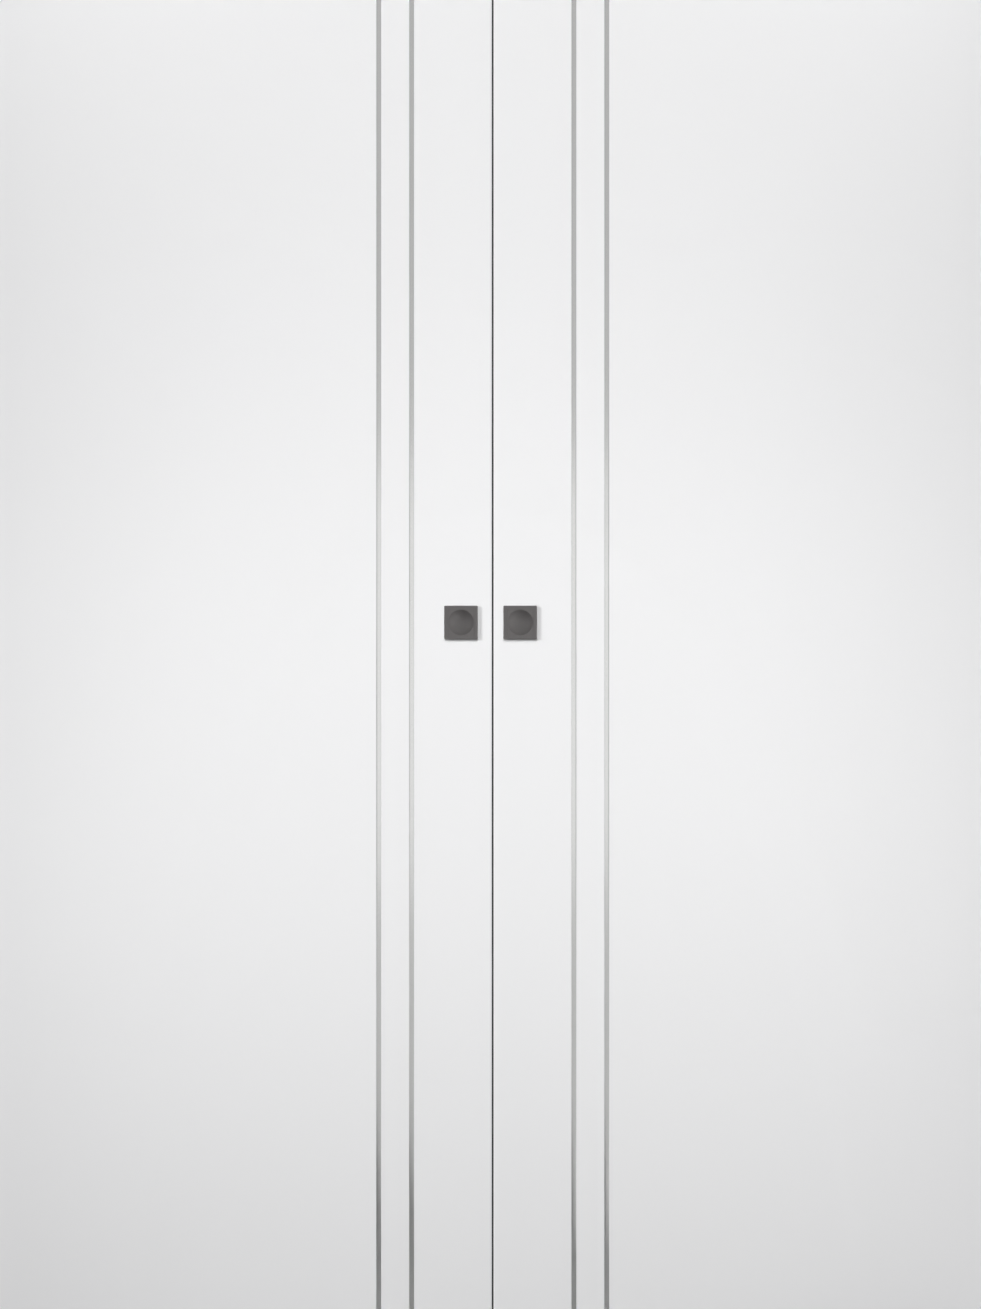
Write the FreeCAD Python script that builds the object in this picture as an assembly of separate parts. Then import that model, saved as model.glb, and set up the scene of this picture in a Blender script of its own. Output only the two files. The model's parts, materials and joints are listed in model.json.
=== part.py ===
import FreeCAD, Part

import math
import os
from dataclasses import dataclass

# Bi-parting pair of top-hung sliding doors, closed, in millimetres.
# X runs along the wall, Y points at the wall behind the doors and Z is up.
# The origin is on the floor under the meeting line, at the middle of the depth.

# Door leaves
LEAF_WIDTH = 735.0
LEAF_HEIGHT = 2110.0
LEAF_THICKNESS = 40.0
MEETING_GAP = 2.5
FLOOR_GAP = 8.0
SKIN_THICKNESS = 4.0
LIPPING_WIDTH = 12.0
STILE_WIDTH = 110.0
RAIL_HEIGHT = 80.0
CORE_HOLE_DIAMETER = 20.0
CORE_HOLE_PITCH = 27.0
OUTER_EDGE_RADIUS = 2.0
BACK_EDGE_RADIUS = 2.0
MEETING_EDGE_RADIUS = 1.0

# Metal inlays in the front skin
INLAY_WIDTH = 7.1
INLAY_DEPTH = 2.0
INLAY_CROWN = 0.4
INLAY_FROM_EDGE = 119.7
INLAY_PITCH = 49.0
INLAY_COUNT = 2
INLAY_FIT = 0.1

# Square flush pulls
PULL_SIZE = 50.0
PULL_PROUD = 3.0
PULL_CORNER_RADIUS = 1.4
PULL_EDGE_RADIUS = 1.2
PULL_RIM_WIDTH = 4.6
PULL_RIM_HEIGHT = 0.6
PULL_HEIGHT = 1050.0
PULL_FROM_EDGE_LEFT = 46.1
PULL_FROM_EDGE_RIGHT = 39.6
DISH_DIAMETER = 38.0
DISH_DEPTH = 9.0
DISH_LIP_RADIUS = 0.8
BARREL_WALL = 1.5
SOCKET_WALL = 1.6
SOCKET_FIT = 0.2
BORE_FIT = 0.1

# Rubber seals in the meeting edges
SEAL_WIDTH = 6.0
SEAL_DEPTH = 4.0
SEAL_CLEARANCE = 0.3
SEAL_TIP_RADIUS = 1.2
SEAL_FROM_GROOVE = 1.0

# Bottom guides
SLEEVE_WIDTH = 9.0
SLEEVE_LENGTH = 26.0
SLEEVE_ROOF = 3.0
SLEEVE_FIT = 0.1
SLEEVE_EDGE_RADIUS = 2.0
GUIDE_CLEARANCE = 0.5
GUIDE_ENGAGEMENT = 16.0
GUIDE_ROOF_CLEARANCE = 4.0
GUIDE_WALL = 2.0
GUIDE_SETBACK = 2.0
GUIDE_END_MARGIN = 4.5
BASE_LENGTH = 80.0
BASE_WIDTH = 30.0
BASE_THICKNESS = 3.0
BASE_CORNER_RADIUS = 4.0
BASE_HOLE_DIAMETER = 5.5
BASE_HOLE_SPACING = 60.0
TAB_LENGTH = 20.0
TAB_THICKNESS = 3.0

# Hanger brackets, bolts and nuts on the leaf's top edge
BRACKET_LENGTH = 100.0
BRACKET_WIDTH = 28.0
BRACKET_SHEET = 2.5
BRACKET_CORNER_RADIUS = 3.0
BRIDGE_LENGTH = 44.0
BRIDGE_SHEET = 3.0
WOOD_SCREW_DIAMETER = 4.0
WOOD_SCREW_LENGTH = 35.0
WOOD_SCREW_HEAD_DIAMETER = 8.0
WOOD_SCREW_HEAD_HEIGHT = 2.4
WOOD_SCREW_SPACING_X = 80.0
WOOD_SCREW_SPACING_Y = 14.0
BOLT_DIAMETER = 8.0
BOLT_HEAD_ACROSS = 13.0
BOLT_HEAD_HEIGHT = 5.3
BOLT_HEAD_CLEARANCE = 0.7
BOLT_GRIP = 18.0
NUT_HEIGHT = 4.5
ADJUSTMENT_GAP = 2.5
SCREW_FIT = 0.05
HOLE_FIT = 0.25

# Trolleys and wheels
TROLLEY_LENGTH = 76.0
TROLLEY_WIDTH = 14.0
TROLLEY_DROP = 4.0
TROLLEY_ABOVE_AXLE = 9.0
TROLLEY_CORNER_RADIUS = 5.0
AXLE_SPACING = 48.0
AXLE_DIAMETER = 6.0
AXLE_HEAD_DIAMETER = 9.0
AXLE_HEAD_THICKNESS = 1.2
AXLE_BOSS_DIAMETER = 10.0
AXLE_BOSS_LENGTH = 1.7
WHEEL_DIAMETER = 24.0
WHEEL_WIDTH = 8.0
WHEEL_CHAMFER = 0.6
WHEEL_DISH_INNER_DIAMETER = 12.0
WHEEL_DISH_OUTER_DIAMETER = 19.0
WHEEL_DISH_DEPTH = 1.0
WHEEL_LIFT = 0.3
BEARING_FIT = 0.05
RUNNING_CLEARANCE = 0.3

# Running track
TRACK_WALL = 3.0
TRACK_CORNER_RADIUS = 1.0
TRACK_SIDE_CLEARANCE = 1.5
TRACK_HEADROOM = 6.7
TRACK_END_MARGIN = 3.5
SLOT_CLEARANCE = 1.0
TRACK_SCREW_DIAMETER = 5.0
TRACK_SCREW_HEAD_DIAMETER = 9.5
TRACK_SCREW_HEAD_HEIGHT = 3.0
TRACK_SCREW_COUNT = 8
TRACK_SCREW_INSET = 150.0
TRACK_SCREW_END = 1.5
TRACK_NUT_ACROSS = 8.0
TRACK_NUT_HEIGHT = 4.0

# Stops inside the track
CENTRE_STOP_LENGTH = 33.0
END_STOP_LENGTH = 26.0
STOP_HEIGHT = 24.0
STOP_SIDE_CLEARANCE = 3.0
STOP_CLEARANCE = 0.5
STOP_SCREW_DIAMETER = 6.0
STOP_SCREW_RECESS = 3.0
STOP_SCREW_SOCKET_ACROSS = 3.0
STOP_SCREW_SOCKET_DEPTH = 3.5
BUFFER_THICKNESS = 6.0
BUFFER_WIDTH = 24.0
BUFFER_HEIGHT = 14.0
BUFFER_ABOVE_FLANGE = 2.5

# Wall angle, fascia and end caps
WALL_STANDOFF = 7.0
ANGLE_SHEET = 3.0
ANGLE_RISE = 45.0
ANGLE_CORNER_RADIUS = 2.0
WALL_HOLE_DIAMETER = 6.5
WALL_HOLE_COUNT = 6
WALL_HOLE_INSET = 200.0
WALL_HOLE_BELOW_TOP = 19.0
FASCIA_THICKNESS = 2.0
FASCIA_GAP = 5.0
FASCIA_LAP = 15.0
FASCIA_CORNER_RADIUS = 1.5
CLIP_LENGTH = 30.0
CLIP_SHEET = 2.0
CLIP_FOOT = 10.0
CLIP_RISE = 20.0
CLIP_COUNT = 5
CLIP_INSET = 150.0
CAP_THICKNESS = 3.0
CAP_CORNER_RADIUS = 3.0

# Planes of the right-hand leaf
LEAF_INNER = MEETING_GAP / 2
LEAF_OUTER = LEAF_INNER + LEAF_WIDTH
LEAF_BOTTOM = FLOOR_GAP
LEAF_TOP = LEAF_BOTTOM + LEAF_HEIGHT
LEAF_FRONT = -LEAF_THICKNESS / 2
LEAF_BACK = LEAF_THICKNESS / 2
CORE_FRONT = LEAF_FRONT + SKIN_THICKNESS
CORE_BACK = LEAF_BACK - SKIN_THICKNESS
PANEL_INNER = LEAF_INNER + LIPPING_WIDTH
PANEL_OUTER = LEAF_OUTER - LIPPING_WIDTH
CORE_INNER = PANEL_INNER + STILE_WIDTH
CORE_OUTER = PANEL_OUTER - STILE_WIDTH
CORE_BOTTOM = LEAF_BOTTOM + RAIL_HEIGHT
CORE_TOP = LEAF_TOP - RAIL_HEIGHT

# Pull depths, measured along Y from the front
PULL_FACE = LEAF_FRONT - PULL_PROUD
PULL_FIELD = PULL_FACE + PULL_RIM_HEIGHT
DISH_BOTTOM = PULL_FIELD + DISH_DEPTH
DISH_SPHERE_RADIUS = ((DISH_DIAMETER / 2) ** 2 + DISH_DEPTH**2) / (2 * DISH_DEPTH)
BARREL_RADIUS = DISH_DIAMETER / 2 + BARREL_WALL
BARREL_BACK = DISH_BOTTOM + BARREL_WALL
SOCKET_INNER_RADIUS = BARREL_RADIUS + SOCKET_FIT
SOCKET_OUTER_RADIUS = SOCKET_INNER_RADIUS + SOCKET_WALL
SOCKET_FLOOR = BARREL_BACK + SOCKET_FIT
SOCKET_BACK = SOCKET_FLOOR + SOCKET_WALL

# Guide channel in the leaf's bottom edge, and the travel that the floor guide allows
GUIDE_INNER_WIDTH = SLEEVE_WIDTH + 2 * GUIDE_CLEARANCE
GUIDE_OUTER_WIDTH = GUIDE_INNER_WIDTH + 2 * GUIDE_WALL
GUIDE_TOP = LEAF_BOTTOM + GUIDE_ENGAGEMENT + GUIDE_ROOF_CLEARANCE + GUIDE_WALL
SLEEVE_TOP = LEAF_BOTTOM + GUIDE_ENGAGEMENT
TAB_TOP = SLEEVE_TOP - SLEEVE_ROOF
GUIDE_COVER = SLEEVE_LENGTH + 2 * GUIDE_END_MARGIN
TRAVEL = LEAF_WIDTH - GUIDE_COVER
GUIDE_CENTRE = LEAF_OUTER - GUIDE_COVER / 2
SEAL_FROM_MIDDLE = GUIDE_OUTER_WIDTH / 2 + SEAL_FROM_GROOVE + SEAL_WIDTH / 2

# Heights of the hanging gear
BRACKET_TOP = LEAF_TOP + BRACKET_SHEET
BOLT_HEAD_BOTTOM = BRACKET_TOP + BOLT_HEAD_CLEARANCE
BRIDGE_BOTTOM = BOLT_HEAD_BOTTOM + BOLT_HEAD_HEIGHT
BRIDGE_TOP = BRIDGE_BOTTOM + BRIDGE_SHEET
NUT_BOTTOM = BRIDGE_TOP + ADJUSTMENT_GAP
TROLLEY_BOTTOM = NUT_BOTTOM + NUT_HEIGHT
TRACK_BOTTOM = TROLLEY_BOTTOM + TROLLEY_DROP
FLANGE_TOP = TRACK_BOTTOM + TRACK_WALL
AXLE_HEIGHT = FLANGE_TOP + WHEEL_LIFT + WHEEL_DIAMETER / 2
TROLLEY_TOP = AXLE_HEIGHT + TROLLEY_ABOVE_AXLE
TRACK_CEILING = FLANGE_TOP + WHEEL_LIFT + WHEEL_DIAMETER + TRACK_HEADROOM + TRACK_SCREW_HEAD_HEIGHT
TRACK_TOP = TRACK_CEILING + TRACK_WALL
ANGLE_SHELF_TOP = TRACK_TOP + ANGLE_SHEET
ANGLE_TOP = TRACK_TOP + ANGLE_RISE
FASCIA_TOP = ANGLE_TOP + FASCIA_THICKNESS
FASCIA_BOTTOM = LEAF_TOP - FASCIA_LAP

# Depths of the running gear and its housing
WHEEL_INNER_FACE = TROLLEY_WIDTH / 2 + AXLE_BOSS_LENGTH + RUNNING_CLEARANCE
WHEEL_OUTER_FACE = WHEEL_INNER_FACE + WHEEL_WIDTH
AXLE_HEAD_FACE = WHEEL_OUTER_FACE + RUNNING_CLEARANCE
AXLE_END = AXLE_HEAD_FACE + AXLE_HEAD_THICKNESS
TRACK_INNER_HALF = AXLE_END + TRACK_SIDE_CLEARANCE
TRACK_HALF_WIDTH = TRACK_INNER_HALF + TRACK_WALL
SLOT_HALF = TROLLEY_WIDTH / 2 + SLOT_CLEARANCE
HOUSED_HALF = max(TRACK_HALF_WIDTH, LEAF_THICKNESS / 2)
WALL_FACE = HOUSED_HALF + WALL_STANDOFF
FASCIA_BACK = -HOUSED_HALF - FASCIA_GAP
FASCIA_FRONT = FASCIA_BACK - FASCIA_THICKNESS

# Places along the track
STOP_REACH = BUFFER_THICKNESS + STOP_CLEARANCE
TROLLEY_INNER = CENTRE_STOP_LENGTH / 2 + STOP_REACH + TROLLEY_LENGTH / 2
TROLLEY_INSET = TROLLEY_INNER - LEAF_INNER
TROLLEY_OUTER = LEAF_OUTER - TROLLEY_INSET
END_BUFFER_FACE = TROLLEY_OUTER + TROLLEY_LENGTH / 2 + TRAVEL + STOP_CLEARANCE
END_STOP_FACE = END_BUFFER_FACE + BUFFER_THICKNESS
TRACK_HALF_LENGTH = END_STOP_FACE + END_STOP_LENGTH + TRACK_END_MARGIN
TROLLEYS = {"inner": TROLLEY_INNER, "outer": TROLLEY_OUTER}
AXLES = {"near": -AXLE_SPACING / 2, "far": AXLE_SPACING / 2}

X_AXIS = FreeCAD.Vector(1, 0, 0)
Y_AXIS = FreeCAD.Vector(0, 1, 0)
Z_AXIS = FreeCAD.Vector(0, 0, 1)
ORIGIN = FreeCAD.Vector(0, 0, 0)


@dataclass(frozen=True)
class Side:
    """One hand of the pair; sign is the way that its leaf opens along X."""

    name: str
    sign: int
    pull_from_edge: float
    seal_middle: float

    def hand(self, shape):
        """Turn a right-hand shape into this hand's shape."""
        if self.sign > 0:
            return shape
        return shape.mirror(ORIGIN, X_AXIS)


SIDES = (
    Side("left", -1, PULL_FROM_EDGE_LEFT, -SEAL_FROM_MIDDLE),
    Side("right", 1, PULL_FROM_EDGE_RIGHT, SEAL_FROM_MIDDLE),
)


def point(x, y, z):
    return FreeCAD.Vector(x, y, z)


def block(x_range, y_range, z_range):
    """Rectangular block between three pairs of planes."""
    (x0, x1), (y0, y1), (z0, z1) = x_range, y_range, z_range
    return Part.makeBox(x1 - x0, y1 - y0, z1 - z0, point(x0, y0, z0))


def rod_y(diameter, x, z, y_range):
    """Round rod along Y."""
    y0, y1 = y_range
    return Part.makeCylinder(diameter / 2, y1 - y0, point(x, y0, z), Y_AXIS)


def rod_z(diameter, x, y, z_range):
    """Round rod along Z."""
    z0, z1 = z_range
    return Part.makeCylinder(diameter / 2, z1 - z0, point(x, y, z0), Z_AXIS)


def hexagon_z(across, x, y, z_range):
    """Upright hexagonal prism, measured across its flats."""
    z0, z1 = z_range
    reach = across / math.sqrt(3)
    angles = [math.radians(60 * step) for step in range(7)]
    corners = [point(x + reach * math.cos(a), y + reach * math.sin(a), z0) for a in angles]
    return Part.Face(Part.makePolygon(corners)).extrude(Z_AXIS * (z1 - z0))


def rounded_face(corners, place):
    """Flat face through corners (a, b, radius), each rounded by its radius; place puts (a, b) in space."""
    flat = [point(a, b, 0) for a, b, _ in corners]
    turns = []
    for index, (_, _, radius) in enumerate(corners):
        corner = flat[index]
        back = (flat[index - 1] - corner).normalize()
        ahead = (flat[(index + 1) % len(flat)] - corner).normalize()
        half = back.getAngle(ahead) / 2
        middle = (back + ahead).normalize() * (radius / math.sin(half) - radius)
        reach = radius / math.tan(half)
        turns.append((radius, corner + back * reach, corner + middle, corner + ahead * reach))
    edges = []
    for index, (radius, start, middle, end) in enumerate(turns):
        if radius > 0:
            edges.append(Part.Arc(*(place(p.x, p.y) for p in (start, middle, end))).toShape())
        following = turns[(index + 1) % len(turns)][1]
        edges.append(Part.LineSegment(place(end.x, end.y), place(following.x, following.y)).toShape())
    return Part.Face(Part.Wire(edges))


def prism_x(corners, x_range):
    """Solid of one (y, z, radius) section along X."""
    x0, x1 = x_range
    return rounded_face(corners, lambda y, z: point(x0, y, z)).extrude(X_AXIS * (x1 - x0))


def prism_y(corners, y_range):
    """Solid of one (x, z, radius) section along Y."""
    y0, y1 = y_range
    return rounded_face(corners, lambda x, z: point(x, y0, z)).extrude(Y_AXIS * (y1 - y0))


def prism_z(corners, z_range):
    """Solid of one (x, y, radius) section along Z."""
    z0, z1 = z_range
    return rounded_face(corners, lambda x, y: point(x, y, z0)).extrude(Z_AXIS * (z1 - z0))


def rectangle(a_range, b_range, radius):
    """Corners of a rectangle with one radius all round."""
    (a0, a1), (b0, b1) = a_range, b_range
    return [(a0, b0, radius), (a1, b0, radius), (a1, b1, radius), (a0, b1, radius)]


def about(middle, size):
    """Range of one size about a middle."""
    return (middle - size / 2, middle + size / 2)


def spread(count, inset):
    """Even places along the track, the first and last one inset from its ends."""
    reach = TRACK_HALF_LENGTH - inset
    return [-reach + 2 * reach * step / (count - 1) for step in range(count)]


def save(name, *solids):
    """Write one node's solids to its own file."""
    shape = solids[0] if len(solids) == 1 else Part.makeCompound(solids)
    if not shape.isValid():
        raise ValueError(f"{name} is not a valid solid")
    shape.exportStep(f"parts/{name}.step")


def wood_screw_places():
    """(x, y) of the screws that hold the hanger brackets."""
    return [
        (trolley + x_step * WOOD_SCREW_SPACING_X / 2, y_step * WOOD_SCREW_SPACING_Y / 2)
        for trolley in TROLLEYS.values()
        for x_step in (-1, 1)
        for y_step in (-1, 1)
    ]


# Everything that is cut out of the leaf: its guide groove, screw holes, pull bore and inlay grooves
def leaf_cutter(side):
    groove = block(
        (LEAF_INNER, LEAF_OUTER),
        about(0, GUIDE_OUTER_WIDTH),
        (LEAF_BOTTOM, GUIDE_TOP),
    )
    seal_groove = block(
        (LEAF_INNER, LEAF_INNER + SEAL_DEPTH),
        about(side.seal_middle, SEAL_WIDTH),
        (LEAF_BOTTOM, LEAF_TOP),
    )
    pull_bore = rod_y(
        2 * (SOCKET_OUTER_RADIUS + BORE_FIT),
        LEAF_INNER + side.pull_from_edge,
        PULL_HEIGHT,
        (LEAF_FRONT, SOCKET_BACK),
    )
    screw_holes = [
        rod_z(WOOD_SCREW_DIAMETER + 2 * SCREW_FIT, x, y, (BRACKET_TOP - WOOD_SCREW_LENGTH, LEAF_TOP))
        for x, y in wood_screw_places()
    ]
    inlay_grooves = [
        block(
            about(middle, INLAY_WIDTH + 2 * INLAY_FIT),
            (LEAF_FRONT, LEAF_FRONT + INLAY_DEPTH),
            (LEAF_BOTTOM, LEAF_TOP),
        )
        for middle in inlay_middles()
    ]
    return Part.makeCompound([groove, seal_groove, pull_bore, *screw_holes, *inlay_grooves])


def inlay_middles():
    return [LEAF_INNER + INLAY_FROM_EDGE + INLAY_PITCH * step for step in range(INLAY_COUNT)]


def meeting_lipping():
    return prism_z(
        [
            (LEAF_INNER, LEAF_FRONT, MEETING_EDGE_RADIUS),
            (PANEL_INNER, LEAF_FRONT, 0),
            (PANEL_INNER, LEAF_BACK, 0),
            (LEAF_INNER, LEAF_BACK, MEETING_EDGE_RADIUS),
        ],
        (LEAF_BOTTOM, LEAF_TOP),
    )


def outer_lipping():
    """Lipping with the soft front round of the outer edge, which its own width limits."""
    front_radius = min(OUTER_EDGE_RADIUS, LIPPING_WIDTH)
    return prism_z(
        [
            (PANEL_OUTER, LEAF_FRONT, 0),
            (LEAF_OUTER, LEAF_FRONT, front_radius),
            (LEAF_OUTER, LEAF_BACK, BACK_EDGE_RADIUS),
            (PANEL_OUTER, LEAF_BACK, 0),
        ],
        (LEAF_BOTTOM, LEAF_TOP),
    )


def skin(y_range):
    return block((PANEL_INNER, PANEL_OUTER), y_range, (LEAF_BOTTOM, LEAF_TOP))


def stile(x_range):
    return block(x_range, (CORE_FRONT, CORE_BACK), (LEAF_BOTTOM, LEAF_TOP))


def rail(z_range):
    return block((CORE_INNER, CORE_OUTER), (CORE_FRONT, CORE_BACK), z_range)


def core():
    """Tubular board: a panel with a row of upright holes."""
    width = CORE_OUTER - CORE_INNER
    count = int(width / CORE_HOLE_PITCH)
    first = (CORE_INNER + CORE_OUTER - (count - 1) * CORE_HOLE_PITCH) / 2
    height = (CORE_BOTTOM, CORE_TOP)
    holes = [rod_z(CORE_HOLE_DIAMETER, first + CORE_HOLE_PITCH * step, 0, height) for step in range(count)]
    return block((CORE_INNER, CORE_OUTER), (CORE_FRONT, CORE_BACK), height).cut(holes)


def inlay(middle):
    """Metal strip with a slightly domed face that stands just proud of the skin."""
    x0, x1 = about(middle, INLAY_WIDTH)
    back = LEAF_FRONT + INLAY_DEPTH
    crown = Part.Arc(
        point(x1, LEAF_FRONT, LEAF_BOTTOM),
        point(middle, LEAF_FRONT - INLAY_CROWN, LEAF_BOTTOM),
        point(x0, LEAF_FRONT, LEAF_BOTTOM),
    ).toShape()
    sides = Part.makePolygon(
        [
            point(x0, LEAF_FRONT, LEAF_BOTTOM),
            point(x0, back, LEAF_BOTTOM),
            point(x1, back, LEAF_BOTTOM),
            point(x1, LEAF_FRONT, LEAF_BOTTOM),
        ]
    )
    return Part.Face(Part.Wire([crown, *sides.Edges])).extrude(Z_AXIS * LEAF_HEIGHT)


def pull_plate(side):
    """Square plate with a rounded edge, a fine raised rim and a round dish for the fingertips."""
    x = LEAF_INNER + side.pull_from_edge
    plate = prism_y(
        rectangle(about(x, PULL_SIZE), about(PULL_HEIGHT, PULL_SIZE), PULL_CORNER_RADIUS),
        (PULL_FACE, LEAF_FRONT),
    )
    edge_radius = min(PULL_EDGE_RADIUS, PULL_PROUD - PULL_RIM_HEIGHT)
    front_edges = [edge for edge in plate.Edges if edge.BoundBox.YMax < PULL_FACE + edge_radius / 2]
    plate = plate.makeFillet(edge_radius, front_edges)
    field_size = PULL_SIZE - 2 * PULL_RIM_WIDTH
    pocket = block(about(x, field_size), (PULL_FACE, PULL_FIELD), about(PULL_HEIGHT, field_size))
    barrel = rod_y(2 * BARREL_RADIUS, x, PULL_HEIGHT, (LEAF_FRONT, BARREL_BACK))
    dish = Part.makeSphere(DISH_SPHERE_RADIUS, point(x, DISH_BOTTOM - DISH_SPHERE_RADIUS, PULL_HEIGHT))
    body = plate.fuse(barrel).cut([pocket, dish]).removeSplitter()
    lip = [edge for edge in body.Edges if is_circle(edge, DISH_DIAMETER, PULL_FIELD)]
    return body.makeFillet(DISH_LIP_RADIUS, lip)


def is_circle(edge, diameter, y):
    """Tell whether an edge is the round mouth of the dish."""
    round_edge = isinstance(edge.Curve, Part.Circle)
    return round_edge and math.isclose(2 * edge.Curve.Radius, diameter) and math.isclose(edge.Curve.Center.y, y)


def pull_socket(side):
    """Thin cup in the leaf that the pull's barrel pushes into."""
    x = LEAF_INNER + side.pull_from_edge
    cup = rod_y(2 * SOCKET_OUTER_RADIUS, x, PULL_HEIGHT, (LEAF_FRONT, SOCKET_BACK))
    return cup.cut(rod_y(2 * SOCKET_INNER_RADIUS, x, PULL_HEIGHT, (LEAF_FRONT, SOCKET_FLOOR)))


def meeting_seal(side):
    """Rubber strip whose rounded tip nearly closes the gap between the leaves."""
    y0, y1 = about(side.seal_middle, SEAL_WIDTH)
    tip = LEAF_INNER - MEETING_GAP + SEAL_CLEARANCE
    root = LEAF_INNER + SEAL_DEPTH
    section = [(root, y0, 0), (root, y1, 0), (tip, y1, SEAL_TIP_RADIUS), (tip, y0, SEAL_TIP_RADIUS)]
    return prism_z(section, (LEAF_BOTTOM, LEAF_TOP))


def guide_channel():
    """Upturned metal channel that runs over the floor guide."""
    x_range = (LEAF_INNER + GUIDE_SETBACK, LEAF_OUTER - GUIDE_SETBACK)
    outside = block(x_range, about(0, GUIDE_OUTER_WIDTH), (LEAF_BOTTOM, GUIDE_TOP))
    return outside.cut(block(x_range, about(0, GUIDE_INNER_WIDTH), (LEAF_BOTTOM, GUIDE_TOP - GUIDE_WALL)))


def hanger_bracket(x):
    """Base plate with a bridge that the hanger bolt's head sits under."""
    base = prism_z(
        rectangle(about(x, BRACKET_LENGTH), about(0, BRACKET_WIDTH), BRACKET_CORNER_RADIUS),
        (LEAF_TOP, BRACKET_TOP),
    )
    bridge = block(about(x, BRIDGE_LENGTH), about(0, BRACKET_WIDTH), (BRACKET_TOP, BRIDGE_TOP))
    hollow = block(
        about(x, BRIDGE_LENGTH - 2 * BRIDGE_SHEET),
        about(0, BRACKET_WIDTH),
        (BRACKET_TOP, BRIDGE_BOTTOM),
    )
    bolt_hole = rod_z(BOLT_DIAMETER + 2 * HOLE_FIT, x, 0, (BRIDGE_BOTTOM, BRIDGE_TOP))
    screw_holes = [
        rod_z(WOOD_SCREW_DIAMETER + 2 * HOLE_FIT, screw_x, screw_y, (LEAF_TOP, BRACKET_TOP))
        for screw_x, screw_y in wood_screw_places()
    ]
    return base.fuse(bridge).cut([hollow, bolt_hole, *screw_holes]).removeSplitter()


def wood_screw(x, y):
    head = rod_z(WOOD_SCREW_HEAD_DIAMETER, x, y, (BRACKET_TOP, BRACKET_TOP + WOOD_SCREW_HEAD_HEIGHT))
    shank = rod_z(WOOD_SCREW_DIAMETER, x, y, (BRACKET_TOP - WOOD_SCREW_LENGTH, BRACKET_TOP))
    return head.fuse(shank)


def hanger_bolt(x):
    """Hexagon bolt, head down, that carries the leaf from its trolley."""
    head = hexagon_z(BOLT_HEAD_ACROSS, x, 0, (BOLT_HEAD_BOTTOM, BRIDGE_BOTTOM))
    return head.fuse(rod_z(BOLT_DIAMETER, x, 0, (BRIDGE_BOTTOM, TROLLEY_BOTTOM + BOLT_GRIP)))


def lock_nut(x):
    nut = hexagon_z(BOLT_HEAD_ACROSS, x, 0, (NUT_BOTTOM, TROLLEY_BOTTOM))
    return nut.cut(rod_z(BOLT_DIAMETER + 2 * SCREW_FIT, x, 0, (NUT_BOTTOM, TROLLEY_BOTTOM)))


def trolley_body(x):
    """Cast block in the track's slot, with bosses that space the wheels."""
    section = rectangle(about(x, TROLLEY_LENGTH), (TROLLEY_BOTTOM, TROLLEY_TOP), TROLLEY_CORNER_RADIUS)
    body = prism_y(section, about(0, TROLLEY_WIDTH))
    boss_width = TROLLEY_WIDTH + 2 * AXLE_BOSS_LENGTH
    for step in AXLES.values():
        body = body.fuse(rod_y(AXLE_BOSS_DIAMETER, x + step, AXLE_HEIGHT, about(0, boss_width)))
    for step in AXLES.values():
        bore = AXLE_DIAMETER + 2 * SCREW_FIT
        body = body.cut(rod_y(bore, x + step, AXLE_HEIGHT, about(0, boss_width)))
    bolt_hole = (TROLLEY_BOTTOM, TROLLEY_BOTTOM + BOLT_GRIP)
    return body.cut(rod_z(BOLT_DIAMETER + 2 * SCREW_FIT, x, 0, bolt_hole)).removeSplitter()


def axle(x):
    """Headed pin that both wheels of a pair turn on."""
    pin = rod_y(AXLE_DIAMETER, x, AXLE_HEIGHT, (-AXLE_HEAD_FACE, AXLE_HEAD_FACE))
    for y_range in ((-AXLE_END, -AXLE_HEAD_FACE), (AXLE_HEAD_FACE, AXLE_END)):
        pin = pin.fuse(rod_y(AXLE_HEAD_DIAMETER, x, AXLE_HEIGHT, y_range))
    return pin.removeSplitter()


def wheel(x, outward):
    """Roller with chamfered edges and a dished outer face; outward is its side of the trolley."""
    inner, outer = outward * WHEEL_INNER_FACE, outward * WHEEL_OUTER_FACE
    y_range = (min(inner, outer), max(inner, outer))
    tyre = rod_y(WHEEL_DIAMETER, x, AXLE_HEIGHT, y_range)
    rims = [edge for edge in tyre.Edges if isinstance(edge.Curve, Part.Circle)]
    tyre = tyre.makeChamfer(WHEEL_CHAMFER, rims)
    floor = outer - outward * WHEEL_DISH_DEPTH
    dish_range = (min(floor, outer), max(floor, outer))
    dish = rod_y(WHEEL_DISH_OUTER_DIAMETER, x, AXLE_HEIGHT, dish_range)
    dish = dish.cut(rod_y(WHEEL_DISH_INNER_DIAMETER, x, AXLE_HEIGHT, dish_range))
    return tyre.cut([dish, rod_y(AXLE_DIAMETER + 2 * BEARING_FIT, x, AXLE_HEIGHT, y_range)])


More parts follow.
